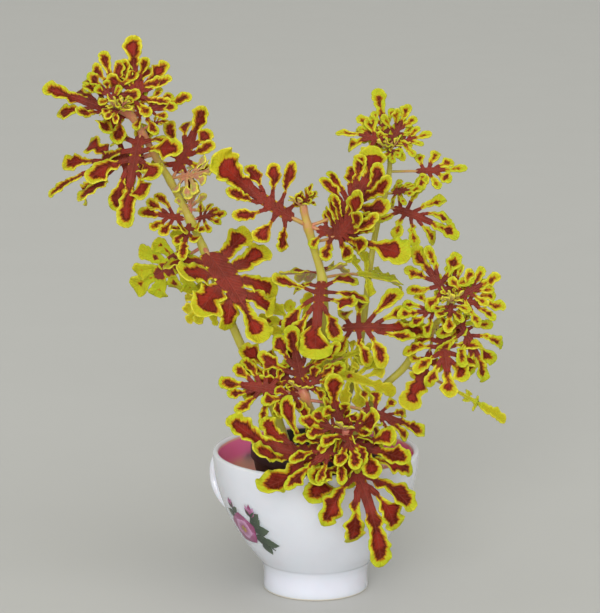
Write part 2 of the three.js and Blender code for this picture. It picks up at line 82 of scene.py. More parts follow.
class CupSettings(bpy.types.PropertyGroup):
    """Porcelain cup and its printed sprig."""

    rim_radius: size("Rim radius", "Outer radius at the rim", 43)
    height: size("Height", "From the foot to the rim", 59.5)
    foot_radius: size("Foot radius", "Outer radius of the foot", 22.4)
    foot_height: size("Foot height", "Height at which the bowl starts", 12)
    wall: size("Wall", "Thickness of the bowl near its foot", 3)
    rim_wall: size("Rim wall", "Thickness of the bowl near its rim", 2.2)
    floor_height: size("Inner floor", "Height of the floor inside", 9.5)
    foot_recess: size("Foot recess", "Depth of the hollow under the foot", 1.2)
    glaze: colour("Glaze", "White glaze outside", "#dcdde8")
    pink: colour("Pink", "Glaze of the upper inside", "#ff80ae")
    # the peach of the lower inside is painted bounce light
    peach_bounce_light: colour("Peach", "Glaze of the lower inside", "#f4b8a4")
    stamen: colour("Stamens", "Printed stamens", "#b8953c")
    bisque: colour("Bisque", "Unglazed foot ring", "#d9d2c6")
    petal: colour("Petal", "Pale parts of the printed petals", "#c08fb4")
    petal_deep: colour("Deep petal", "Deep edges and hearts of the printed petals", "#8c3a68")
    sprig_leaf: colour("Sprig leaf", "Printed leaves", "#4e5d48")
    sprig_leaf_dark: colour("Sprig leaf shade", "Shaded parts of the printed leaves", "#2c3a2c")


class PotSettings(bpy.types.PropertyGroup):
    """Nursery pot and its soil."""

    floor: size("Underside", "Height of the underside", 9.8)
    top: size("Rim height", "Height of the rim", 61.6)
    base_radius: size("Base radius", "Outer radius at the bottom", 17.2)
    top_radius: size("Top radius", "Outer radius below the rim band", 26.2)
    wall: size("Wall", "Thickness of the wall", 1.4)
    band: size("Band", "How far the rim band stands out", 1)
    band_height: size("Band height", "Height of the rim band", 5.2)
    soil_top: size("Soil height", "Height of the soil at its edge", 56.2)
    soil_mound: size("Soil mound", "How much higher the soil is in the middle", 1.2)
    plastic: colour("Plastic", "Moulded black plastic", "#201f1d")
    peat: colour("Peat", "Moist peat", "#3a281c")
    peat_dry: colour("Dry peat", "Fibres and dry crumbs", "#6b5138")
    perlite: colour("Perlite", "White grains in the soil", "#cfc8b8")


class LeafSettings(bpy.types.PropertyGroup):
    """Leaves and stems."""

    blade: size("Blade", "Thickness of a blade", 0.45)
    margin: size("Margin", "Width of the yellow margin of a wide lobe", 1.5)
    centre: colour("Centre", "Maroon of the blade's middle", "#922a1c")
    # also laid over the maroon in random patches, and as painted shade on the lower and front shoots
    centre_dark: colour("Dark centre", "Brown maroon next to the margin", "#481204")
    rib: colour("Rib", "Midrib and the blade next to it", "#824238")
    seam: colour("Seam", "Line where maroon meets yellow", "#a86410")
    # the outermost yellow is lighter as a painted rim highlight
    edge: colour("Edge", "Outermost yellow", "#dcd244")
    edge_deep: colour("Inner edge", "Olive yellow next to the maroon", "#b2a41a")
    # also laid over the margin in random patches, and as painted shade on the lower and front shoots
    edge_green: colour("Green edge", "Greener yellow of some leaves", "#a8b022")
    underside: colour("Underside", "Pink of the underside", "#c08064")
    underside_green: colour("Green underside", "Pale green of the underside", "#b0a850")
    stem: colour("Stem", "Olive yellow of an older stem", "#b2aa3c")
    stem_blush: colour("Stem blush", "Pink of young stems and leaf stalks", "#b86a58")


class StudioSettings(bpy.types.PropertyGroup):
    """Floor, lights and camera."""

    backdrop: colour("Backdrop", "Floor and backdrop", "#c2c2be")
    distance: size("Camera distance", "From the camera to the point that it looks at", 1100)
    elevation: FloatProperty(
        name="Elevation", description="Camera above the horizon", subtype="ANGLE", default=math.radians(12)
    )
    daylight: FloatProperty(
        name="Daylight", description="Strength of the light through a large window", default=0.75
    )
    softbox: FloatProperty(name="Softbox", description="Watts", subtype="POWER", default=36)
    ambient: FloatProperty(name="Ambient", description="Strength of the even light", default=1.0)


# ---------------------------------------------------------------- plant layout, in millimetres and degrees

# Leaf forms, as shares of the leaf's length, in these columns. pairs: lobes on each side; web: half width
# of the undivided middle; lobe, width: size of a side lobe; root: half width where it leaves the middle;
# neck: its narrow part; tip, tip_width: the end lobe; first, last: where the lobes stand; swing: their
# angles to the midrib; profile: relative lobe lengths from the base. A row may end before the margins.
FORM_COLUMNS = (
    "pairs", "web", "lobe", "width", "root", "neck", "tip", "tip_width", "first", "last", "swing",
    "profile", "tip_margin", "neck_margin",
)
FORMS = {
    "broad": (
        4, 0.13, 0.38, 0.205, 0.055, 0.68, 0.43, 0.27, 0.08, 0.52, (128, 36), (0.9, 1, 1, 0.88), 1.3, 0.6,
    ),
    "palm": (4, 0.09, 0.46, 0.185, 0.042, 0.38, 0.5, 0.23, 0.07, 0.42, (124, 32), (0.8, 1, 1, 0.85)),
    "cut": (4, 0.06, 0.5, 0.17, 0.032, 0.28, 0.54, 0.2, 0.06, 0.38, (116, 28), (0.74, 0.98, 1, 0.88)),
    "fan": (4, 0.08, 0.52, 0.19, 0.04, 0.44, 0.56, 0.24, 0.08, 0.36, (80, 22), (0.8, 0.95, 1, 0.9)),
    "fine": (3, 0.065, 0.54, 0.2, 0.042, 0.38, 0.58, 0.22, 0.1, 0.36, (106, 30), (0.82, 1, 0.9)),
    "bud": (2, 0.06, 0.5, 0.24, 0.055, 0.48, 0.6, 0.27, 0.15, 0.33, (88, 36), (0.95, 0.9)),
}

# Leafy stems, named as their solids. radii: at foot and tip; young_pairs: pairs of tiny leaves at the tip;
# margin: share of the yellow margin's width; blush: pink at the tip; shade: painted shade, how much darker
# and greener its leaves are, set deeper for the lower and front shoots; path: its centre line.
# Leaf columns: height on the stem, heading, slope of its chord, droop along it, roll about it, sway,
# blade length, stalk length, form; the last column changes single form values.
SHOOTS = {
    "left_shoot": {
        "radii": (2.1, 1.2), "young_pairs": 3, "margin": 1, "blush": 0.75, "shade": 0,
        "path": (
            (-9, 3, 50), (-19, 6, 79), (-30, 6, 100), (-38, 5, 120), (-46, 3, 143), (-52.5, 2, 158),
            (-59.5, 0, 172.5), (-66, -2, 184), (-71, -4, 194), (-75, -5.5, 200.5), (-80, -8, 204),
        ),
        "leaves": (
            (144, 312, -44, 30, 8, 0, 46, 5, "broad"),
            (144, 159, -32, 40, -100, 0, 32, 6, "broad", {"lobes": 0.9, "margin": 1.2, "pale": 0.3}),
            (156, 206, 12, 20, -60, 0, 20, 4, "fine"),
            (156, 331, 14, 20, 60, 0, 14, 4, "fine"),
            (156, 261, -37, 30, 0, 0, 20, 3, "bud", {"tip_width": 0.2, "lobes": 0.75}),
            (156, 282, 83, 10, 10, 0, 14, 3, "fine"),
            (172, 16, 65, -20, 52, 0, 29, 5, "palm"),
            (173, 328, 17, 40, 228, 0, 19, 5, "palm"),
            (184, 170, -23, 50, -45, 0, 45, 5, "cut", {"tip_width": 0.1}),
            (193, 253, -63, 35, 0, 0, 39, 3, "cut", {"tip_width": 0.2, "tip_neck": 0.4, "width": 0.19}),
            (193, 349, 20, 60, 40, 0, 8, 5, "fine", {"lobes": 0.6}),
            (199, 181, 19, 10, -50, 0, 35, 4, "cut"),
            (199, 92, 78, -10, 0, 0, 28, 6, "fine", {"tip_width": 0.25, "lobes": 0.75}),
            (200, 3, 18, 0, 55, 0, 24, 2, "cut", {"lobes": 0.8}),
            (203, 131, 61, -5, -34, 0, 22, 4, "fine"),
            (203, 32, 40, -5, 46, 0, 24, 4, "fine"),
            (203, 175, 48, 10, -64, 0, 16, 4, "bud", {"lobes": 0.7}),
            (203, 250, -7, 40, -10, 0, 14, 2, "fine"),
            (128, 172, -53, 30, -75, 0, 16, 5, "fine", {
                "lobes": 1.15, "width": 0.24, "tip_width": 0.26, "margin": 1.6, "pale": 0.5,
            }),
        ),
    },
    "centre_shoot": {
        "radii": (2.2, 1.6), "young_pairs": 1, "margin": 1, "blush": 0.45, "shade": 0.15,
        "path": (
            (1, 4, 50), (3, 5, 70), (4.3, 4, 90), (3.8, 3, 110), (2.5, 2, 131.9), (-1.2, 1, 146),
            (-4.5, 0, 158.3), (-5.4, 0, 163),
        ),
        "leaves": (
            (110, 4, -3, 30, 45, 0, 36, 8, "cut", {"margin": 1.3}),
            (110, 170, 6, 30, -72, 0, 24, 5, "palm", {"margin": 1.4, "pale": 0.25}),
            (131, 264, -43, 45, 0, 0, 39, 3, "cut", {
                "tip": 0.46, "tip_width": 0.34, "tip_neck": 0.3, "end_margin": 2.6,
            }),
            (131, 44, -10, 30, 31, 0, 27, 20, "fine", {"margin": 1.8, "pale": 0.6}),
            (153, 201, 38, 0, -73, -20, 44, 8, "cut", {
                "tip": 0.52, "tip_width": 0.31, "lobes": 0.78, "width": 0.145,
                "margin": 0.85, "end_margin": 2.8,
            }),
            (153, 346, -14, 20, 46, 10, 40, 5, "cut", {
                "tip": 0.58, "tip_width": 0.31, "tip_neck": 0.25, "lobes": 0.5, "end_margin": 2.6,
            }),
            (154, 8, 52, -10, 63, 80, 31, 15, "fan", {"tip_width": 0.27, "end_margin": 2.8}),
            (147, 317, 45, -10, 94, 80, 26, 12, "fan", {"lobes": 1.05, "end_margin": 1.8}),
            (161, 31, 69, 0, 0, 0, 9, 2, "bud"),
            (131, 100, -15, 50, 0, 0, 27, 8, "fine"),
            (92, 356, -18, 30, 58, 0, 25, 6, "palm", {"margin": 2, "pale": 0.5}),
            (94, 1, 22, 0, 60, 0, 13, 8, "palm", {"margin": 2, "pale": 0.8}),
            (96, 32, -29, 10, 71, 0, 11, 3, "fine", {"margin": 2, "pale": 0.8}),
        ),
    },
    "rear_shoot": {
        "radii": (1.8, 1), "young_pairs": 3, "margin": 1.6, "blush": 0.15, "shade": 0.3,
        "path": (
            (7, 12, 50), (12, 18, 70), (17, 22, 90), (20, 25, 106), (23, 27, 132), (26.2, 28, 151),
            (29.6, 29, 164), (31, 30, 173), (31, 30, 182),
        ),
        "leaves": (
            (157, 345, -21, 40, 45, 0, 30, 6, "cut"),
            (161, 330, 12, 10, 45, 0, 14, 4, "fine"),
            (171, 353, 4, -10, 58, 0, 21, 12, "fine", {"tip_width": 0.17, "lobes": 0.85}),
            (180, 123, 69, -10, -29, 0, 24, 3, "fine", {"tip": 0.66, "tip_width": 0.25, "lobes": 0.62}),
            (181, 14, 65, 10, 64, 0, 17, 3, "fine"),
            (181, 354, 20, 20, 50, 0, 16, 3, "fine"),
            (181, 185, 15, 60, -40, 0, 22, 3, "fine", {"tip_width": 0.14}),
            (181, 149, 38, 30, -47, 0, 17, 3, "fine"),
            (181, 275, -22, 40, 0, 0, 11, 2, "bud"),
        ),
    },
    "right_shoot": {
        "radii": (1.9, 1.1), "young_pairs": 3, "margin": 1.45, "blush": 0.2, "shade": 0.25,
        "path": (
            (13, 4, 50), (19, 11, 68), (28, 14, 82), (37.6, 14, 91.7), (43.7, 12, 103.4),
            (49.7, 9, 110.5), (54.5, 6, 117.5), (56.5, 3, 122.4),
        ),
        "leaves": (
            (91.5, 20, -31, 30, 69, 0, 28, 27, "bud", {
                "tip": 0.95, "tip_width": 0.16, "tip_neck": 0.8, "lobes": 0.14,
                "web": 0.03, "margin": 3, "pale": 0.9,
            }),
            (109, 237, -52, 20, -28, -30, 27, 12, "bud", {
                "tip": 0.75, "tip_width": 0.34, "lobes": 0.5, "end_margin": 1.5,
            }),
            (111, 282, -49, 40, 0, 0, 28, 8, "palm", {"lobes": 1.1}),
            (117, 202, -2, 30, -50, 0, 20, 3, "fine"),
            (118, 353, -64, 60, 47, 0, 29, 7, "cut"),
            (121.5, 165, 53, -10, -59, 0, 25, 3, "fine", {"tip_width": 0.26}),
            (121.5, 75, 63, 10, 0, 0, 16, 3, "fine"),
            (121.5, 1, 29, 20, 61, 0, 19, 4, "fine"),
            (121.5, 262, -33, 40, 0, 0, 17, 2, "bud"),
            (106, 75, -15, 50, 0, 0, 27, 6, "fine"),
            (121.5, 351, -5, 30, 50, 0, 20, 3, "fine"),
        ),
    },
    "front_shoot": {
        "radii": (1.9, 1.3), "young_pairs": 1, "margin": 1, "blush": 0.8, "shade": 0.65,
        "path": (
            (6, -13, 50), (6.5, -18, 60), (8, -26, 66.5), (10, -33, 69.5), (11.5, -39, 74),
            (12, -42, 79),
        ),
        "leaves": (
            (69.5, 302, -56, 70, 10, 0, 53, 3, "cut", {"width": 0.165, "tip_width": 0.18, "web": 0.05}),
            (69.5, 195, 19, 0, -52, -70, 49, 4, "cut"),
            (77, 242, 69, 0, -141, -30, 28, 1, "bud", {"tip": 0.8, "tip_width": 0.27, "lobes": 0.5}),
            (77, 201, 20, 30, -60, 0, 20, 2, "fine"),
            (77, 315, 28, 20, 63, 0, 20, 1, "bud", {"tip": 0.75, "tip_width": 0.42, "lobes": 0.8}),
            (77, 282, -31, 40, 0, 0, 20, 1, "bud", {"lobes": 1.2}),
            (72, 320, -3, 10, 40, 0, 32, 2, "bud", {"tip_width": 0.24, "width": 0.27, "lobes": 0.92}),
            (74, 223, -24, 40, -41, 0, 35, 2, "fine", {"tip_width": 0.14, "lobes": 0.88, "width": 0.125}),
        ),
    },
    "middle_shoot": {
        "radii": (1.9, 1.4), "young_pairs": 1, "margin": 1, "blush": 0.8, "shade": 0.65,
        "path": (
            (-4, -8, 50), (-1, -13, 66), (-1, -17, 77), (-4, -22, 86), (-6, -23, 91),
        ),
        "leaves": (
            (88, 192, 11, 10, -60, 0, 24, 12, "palm", {"lobes": 1.2}),
            (86, 13, -19, 40, 50, 0, 30, 24, "cut", {"lobes": 0.8}),
            (87, 196, 78, -10, -98, 0, 29, 2, "palm", {"lobes": 1.25, "end_margin": 1.6}),
            (88, 209, -3, 20, -53, 0, 18, 2, "bud", {"lobes": 0.7}),
            (88, 151, 29, 20, -48, 0, 30, 4, "fine"),
            (89, 3, 44, 20, 64, 0, 15, 2, "bud"),
        ),
    },
}

# ---------------------------------------------------------------- fixed sizes, in millimetres

BOWL_CURVE = 0.85
BOWL_ROWS = 40
CUP_CORNERS = 160
FOOT_RING = 4.5
# depths below the rim at which the pink glaze starts inside, and fades to a low share over peach: painted
# bounce light
PINK_START = (1, 2.2)
PINK_FADE = (6, 15)
PINK_LOW = 0.3
HANDLE_HEADING = 135
HANDLE_WIDTH = 5.4
HANDLE_THICKNESS = 4.2
HANDLE_CORNERS = 24
# centre line of the handle: distance from the cup's axis, height
HANDLE_ROUTE = (
    (41, 46.7), (48, 50), (56.5, 48), (61.3, 41), (60.6, 32), (54, 25.2), (44, 22.6), (29.6, 21.2),
)

# printed sprig: its middle on the bowl, then places across and up from there, with aims in degrees
SPRIG_SCALE = 1.22
SPRIG_HEADING = -140
SPRIG_HEIGHT = 32.5
PRINT_THICKNESS = 0.04
SPRIG_ROSE = (-2.6, -1.2)
SPRIG_STALKS = (
    ((8.5, -8.5), (5, -5.5), (1, -3), (-2.6, -1.2)),
    ((1, -3), (3.2, 1), (3.6, 5.2)),
    ((-2.6, -1.2), (-5.5, 3), (-6.2, 6.5)),
)
SPRIG_LEAVES = (
    (2.6, -0.4, 8, 7.4), (4.2, -5, -6, 7), (3.4, 3.4, 40, 5.6), (4.8, -5.6, -78, 5.6),
    (-5.6, 3.2, 158, 4.8), (-5.9, 4.8, 40, 3.8), (2.2, -3.2, -22, 7.2), (2.4, 1.2, 34, 6.2),
)
SPRIG_BUDS = ((3.6, 5.2, 82, 5), (-6.2, 6.5, 104, 3.8))
# rings of petals: length, aim of the first, shade at its foot and end
ROSE_RINGS = ((6.6, 20, (0.1, 1.0)), (4.2, 56, (0.9, 0.0)))
ROSE_PETALS = 5
STAMENS = 14
STAMEN_TURN = 137.5
# heights of the printed layers above the glaze
STALK_LIFT, LEAF_LIFT, BUD_LIFT, PETAL_LIFT, STAMEN_LIFT = 0.05, 0.07, 0.09, 0.12, 0.24

POT_CORNERS = 96
SOIL_SEED = 11
SOIL_GAP = 0.3
SOIL_CORNERS = 110
SOIL_RINGS = 30
CRUMBS = 420
CRUMB_SIZE = (0.5, 1.9)
PERLITE_GRAINS = 34
PERLITE_SIZE = (0.8, 1.8)

# tiny leaves of a growing tip: length of the first pair, how much shorter each next pair is, stalk
YOUNG_LENGTH = 9
YOUNG_STEP = 2.2
YOUNG_STALK = 0.8
# swelling of a stem where leaves leave it: share of its radius, and reach along the stem
NODE_SWELL = 0.1
NODE_REACH = 2.2
HAIR_LENGTH = (0.35, 0.9)
HAIR_RADIUS = 0.05
HAIR_CORNERS = ((1, 0), (-0.5, 0.87), (-0.5, -0.87))
HAIRS_PER_MM = 5
# how much wider the yellow margin of a broad leaf is
BROAD_MARGIN = 1.25

# lobes of one leaf differ from its form: middle value and play, in degrees or as a share
SWING_PLAY = 5
LENGTH_PLAY = 0.14
WIDTH_PLAY = 0.12
LOBE_LIFT = (10, 20)
LOBE_CURL = (-26, 44)
LOBE_BEND = (-16, 22)
LOBE_TWIST = (0, 30)
# teeth, folds and ruffles of a lobe, and the share of it that its vein runs
TOOTH_SPACING = (2.4, 3.4)
TOOTH_DEPTH = 0.5
FOLD = (0.08, 0.5)
RUFFLE = (0.12, 0.3)
RUFFLE_SPACING = (4.2, 6.5)
VEIN_SHARE = 0.85

# side veins: how far apart, how much they lean back, and the soft edges of side vein and midvein
VEIN_SPACING = 2.0
VEIN_LEAN = 0.9
SIDE_VEIN_EDGE = (0.1, 0.38)
MIDVEIN_EDGE = (0.12, 0.5)
# how far the line between maroon and yellow is jagged, wanders, and runs out along a side vein
JAGS = 0.6
WANDER = 1.5
VEIN_RUN = 0.35

# fineness of the shoots' meshes, where a lobe's round end starts, and where the end lobe's draws start
BLADE_STEPS = 30
LOBE_STEPS = 24
STEM_CORNERS = 20
MIDVEIN_CORNERS = 8
SIDE_VEIN_CORNERS = 4
ROW_SPACING = 0.7
FEWEST_ROWS = 8
MOST_ROWS = 26
LOBE_COLUMNS = 6
RIB_COLUMNS = 6
TIP_ROUND = 0.8
END_LOBE = 400

# the camera looks at AIM, level with the middle of the plant
AIM = (-6.6, 0, 120.3)
PIXELS_PER_MM = 2.42
IMAGE_WIDTH = 600
FLOOR_RADIUS = 9000
FLOOR_CORNERS = 64
DAYLIGHT_FROM = (0.38, -0.65, 1)
DAYLIGHT_ANGLE = 50
SOFTBOX_PLACE = (-450, -4200, 1240)
SOFTBOX_WIDTH = 2700
SOFTBOX_SPREAD = 80


# ---------------------------------------------------------------- small helpers


def draw(seed, feature):
    """Repeatable number from 0 to 1 for one feature of the leaf with this seed."""
    value = math.sin(seed * 78.233 + feature * 12.9898) * 43758.5453
    return value - math.floor(value)


def spread(seed, feature):
    """Repeatable number from -1 to 1."""
    return draw(seed, feature) * 2 - 1


def lerp(a, b, t):
    """Value at share t of the way from a to b."""
    return a + (b - a) * t


def smooth(start, end, x):
    """0 below start, 1 above end, with a soft change between them."""
    t = np.clip((np.asarray(x, float) - start) / (end - start), 0, 1)
    return t * t * (3 - 2 * t)


def unit(vectors):
    """Vectors scaled to length 1."""
    return vectors / np.maximum(np.linalg.norm(vectors, axis=-1, keepdims=True), 1e-9)


class Patchwork:
    """Mesh in the making: points in millimetres, faces, each face's finish and facts for each point."""

    def __init__(self):
        self.points = []
        self.faces = []
        self.finishes = []
        self.facts = {}
        self.count = 0

    def add_points(self, points, **facts):
        """Adds an array of points and returns their numbers, in the same shape."""
        points = np.asarray(points, float)
        shape = points.shape[:-1]
        flat = points.reshape(-1, 3)
        self.points.append(flat)
        for name, values in facts.items():
            spans = self.facts.setdefault(name, [])
            spans.append((self.count, np.broadcast_to(values, shape).reshape(-1)))
        numbers = np.arange(self.count, self.count + len(flat)).reshape(shape)
        self.count += len(flat)
        return numbers

    def add_grid(self, numbers, flip=False, around=False, finish=0):
        """Faces between neighbouring rows and columns of point numbers."""
        if around:
            numbers = np.concatenate([numbers, numbers[:, :1]], axis=1)
        quads = [numbers[:-1, :-1], numbers[:-1, 1:], numbers[1:, 1:], numbers[1:, :-1]]
        faces = np.stack(quads, -1).reshape(-1, 4)
        self.add_faces((faces[:, ::-1] if flip else faces).tolist(), finish)

    def add_fan(self, middle, ring):
        """Triangles from one point to a closed ring."""
        self.add_faces([(int(middle), int(a), int(b)) for a, b in zip(ring, np.roll(ring, -1))])

    def add_faces(self, faces, finish=0):
        """Adds a list of faces with one finish."""
        self.faces += faces
        self.finishes += [finish] * len(faces)

    def fact(self, name):
        """One fact for every point."""
        values = np.zeros(self.count)
        for start, span in self.facts[name]:
            values[start : start + len(span)] = span
        return values


def new_object(name, work, finishes):
    """Puts a patchwork into the scene, in metres."""
    mesh = bpy.data.meshes.new(name)
    mesh.from_pydata((np.concatenate(work.points) * MM).tolist(), [], work.faces)
    for finish in finishes:
        mesh.materials.append(finish)
    mesh.polygons.foreach_set("material_index", work.finishes)
    mesh.polygons.foreach_set("use_smooth", [True] * len(work.faces))
    for fact in work.facts:
        layer = mesh.attributes.new(fact, "FLOAT", "POINT")
        layer.data.foreach_set("value", work.fact(fact))
    mesh.update()
    if mesh.validate():
        raise RuntimeError(f"{name} had faces that Blender had to mend")
    item = bpy.data.objects.new(name, mesh)
    bpy.context.scene.collection.objects.link(item)
    return item


def make_piece(name, work, finishes, node):
    """Makes a patchwork a piece of the object. node: the solid that it replaces."""
    piece = new_object(name, work, finishes)
    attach(piece, BODY)
    if node:
        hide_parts(node)
    return piece


def thicken(piece, thickness, back_finish=0):
    """Gives an open sheet its thickness on the side that its faces turn away from."""
    layer = piece.modifiers.new("Thickness", "SOLIDIFY")
    layer.thickness = thickness
    layer.offset = -1
    layer.material_offset = back_finish
    layer.material_offset_rim = 0


def smooth_path(points, steps):
    """Centripetal Catmull-Rom curve through points, with that many steps between neighbours."""
    points = np.array(points, float)
    ends = [2 * points[0] - points[1], *points, 2 * points[-1] - points[-2]]
    curve = [points[0]]
    for before, start, end, after in zip(ends, ends[1:], ends[2:], ends[3:]):
        gaps = [np.linalg.norm(b - a) ** 0.5 for a, b in ((before, start), (start, end), (end, after))]
        leave = (start - before) / gaps[0] - (end - before) / (gaps[0] + gaps[1]) + (end - start) / gaps[1]
        arrive = (end - start) / gaps[1] - (after - start) / (gaps[1] + gaps[2]) + (after - end) / gaps[2]
        leave, arrive = leave * gaps[1], arrive * gaps[1]
        for step in range(1, steps + 1):
            t = step / steps
            square = (3 * (end - start) - 2 * leave - arrive) * t * t
            cube = (2 * (start - end) + leave + arrive) * t**3
            curve.append(start + leave * t + square + cube)
    return np.array(curve)


def path_frames(centres):
    """Directions along a path, and two sideways directions that turn as little as they can."""
    along = unit(np.gradient(centres, axis=0))
    side = np.cross(along[0], (0, 1, 0) if abs(along[0][1]) < 0.9 else (1, 0, 0))
    sides = []
    for direction in along:
        side = unit(side - direction * np.dot(side, direction))
        sides.append(side)
    sides = np.array(sides)
    return along, sides, np.cross(along, sides)


def round_corners(corners):
    """Angles of the corners of a round outline."""
    return 2 * np.pi * np.arange(corners) / corners


def add_rod(work, centres, radii, corners, squareness=0.0, **facts):
    """Closed rod along a path. squareness pushes out the four corners of its section."""
    centres = np.asarray(centres, float)
    _, sides, ups = path_frames(centres)
    angles = round_corners(corners)
    reach = (radii[:, None] * (1 - squareness * np.cos(4 * angles)))[..., None]
    across = reach * np.cos(angles)[:, None] * sides[:, None]
    ring = centres[:, None] + across + reach * np.sin(angles)[:, None] * ups[:, None]
    facts = {key: np.reshape(value, (-1, 1)) * np.ones((len(centres), 1)) for key, value in facts.items()}
    rings = work.add_points(ring, **facts)
    work.add_grid(rings, around=True)
    ends = {key: values[[0, -1], 0] for key, values in facts.items()}
    foot, tip = work.add_points(centres[[0, -1]], **ends)
    work.add_fan(foot, rings[0][::-1])
    work.add_fan(tip, rings[-1])


def turn(work, profile, corners, **facts):
    """Surface of revolution about the upright axis. Its profile starts and ends on the axis."""
    profile = np.asarray(profile, float)
    angles = round_corners(corners)
    radius, height = profile[1:-1, :1], profile[1:-1, 1:]
    ring = np.stack([radius * np.cos(angles), radius * np.sin(angles), height + 0 * angles], -1)
    rings = work.add_points(ring, **{key: values[1:-1, None] for key, values in facts.items()})
    work.add_grid(rings, around=True)
    for end, row in ((0, rings[0][::-1]), (-1, rings[-1])):
        level = {key: values[[end]] for key, values in facts.items()}
        work.add_fan(work.add_points([(0, 0, profile[end][1])], **level)[0], row)


# ---------------------------------------------------------------- finishes

SOFT_EDGE = {"interpolation_type": "SMOOTHSTEP"}


def add_node(tree, kind, inputs=(), output=0, **settings):
    """Adds a shader node, fills its inputs, by name or in order, and returns one of its outputs."""
    node = tree.nodes.new(f"ShaderNode{kind}")
    for name, value in settings.items():
        setattr(node, name, value)
    for name, value in inputs.items() if isinstance(inputs, dict) else enumerate(inputs):
        socket = node.inputs[name]
        if isinstance(value, bpy.types.NodeSocket):
            tree.links.new(value, socket)
        elif socket.type == "RGBA" and len(value) == 3:
            socket.default_value = (*value, 1)
        else:
            socket.default_value = value
    return node.outputs[output] if node.outputs else None


def new_finish(name):
    """An empty material, the function that adds nodes to it, and a point's place on the object."""
    finish = bpy.data.materials.new(name)
    finish.use_nodes = True
    finish.node_tree.nodes.clear()
    add = partial(add_node, finish.node_tree)
    return finish, add, add("TexCoord", output="Object")


def grains(place, across, detail=2, rough=0.5):
    """Inputs of a noise whose grains are that many millimetres across."""
    return {"Vector": place, "Scale": 1 / (across * MM), "Detail": detail, "Roughness": rough}


def shaded(tint, share):
    """Colour darkened to a share of its brightness."""
    return tuple(value * share for value in tint)


def painted(add, ground, *coats):
    """Colour built up in coats: a share and a colour each, or a value, a colour and a soft edge."""
    for share, tint, *ends in coats:
        if ends:
            share = add("MapRange", (share, *ends), **SOFT_EDGE)
        ground = add("Mix", {0: share, 6: ground, 7: tint}, 2, data_type="RGBA")
    return ground


def end_finish(add, base, relief, **skin):
    """Closes a material with its shader. relief: heights and depths in millimetres, the coarsest first."""
    inputs = {"Base Color": base, **{name.replace("_", " "): value for name, value in skin.items()}}
    below = {}
    for height, depth in relief:
        bump = {"Height": height, "Strength": 1.0, "Distance": depth * MM, **below}
        below = {"Normal": add("Bump", bump)}
    shader = add("BsdfPrincipled", {**inputs, **below}, subsurface_method="RANDOM_WALK")
    add("OutputMaterial", {"Surface": shader})


def blade_marks(add, place):
    """What both faces of a blade share: way in from edge and margin, midvein and side veins."""
    edge, margin, across, rise, pale = [
        add("Attribute", output="Fac", attribute_name=name)
        for name in ("edge", "margin", "across", "rise", "pale")
    ]
    width = add("Math", (across,), operation="ABSOLUTE")
    # side veins leave the midvein forwards and run parallel
    climb = add("Math", (width, -VEIN_LEAN, rise), operation="MULTIPLY_ADD")
    between = add("Math", (climb, VEIN_SPACING / 2), operation="PINGPONG")
    side_vein = add("MapRange", (between, *SIDE_VEIN_EDGE, 1, 0), **SOFT_EDGE)
    midvein = add("MapRange", (width, *MIDVEIN_EDGE, 1, 0), **SOFT_EDGE)
    # the maroon ends in a line that is jagged, wanders, and runs out a little along the side veins
    jagged, wandering = [add("TexNoise", grains(place, *kind)) for kind in ((0.9, 3), (3, 1))]
    inside = add("Math", (edge, margin), operation="SUBTRACT")
    inside = add("Math", (inside, (JAGS + WANDER) / 2), operation="SUBTRACT")
    for mark, reach in ((jagged, JAGS), (wandering, WANDER), (side_vein, VEIN_RUN)):
        inside = add("Math", (mark, reach, inside), operation="MULTIPLY_ADD")
    # no margin at all on a neck, where its width is nought, unless the leaf is pale
    necks = add("MapRange", (margin, 0.05, 0.4, 1, 0), **SOFT_EDGE)
    bare = add("Math", (pale, -9, 4), operation="MULTIPLY_ADD")
    inside = add("Math", (necks, bare, inside), operation="MULTIPLY_ADD")
    # a leaf that grew in the shade keeps little maroon, in uneven patches
    faded = add("Math", (add("TexNoise", grains(place, 5)), 22, -17), operation="MULTIPLY_ADD")
    inside = add("Math", (pale, faded, inside), operation="MULTIPLY_ADD")
    return edge, inside, midvein, side_vein


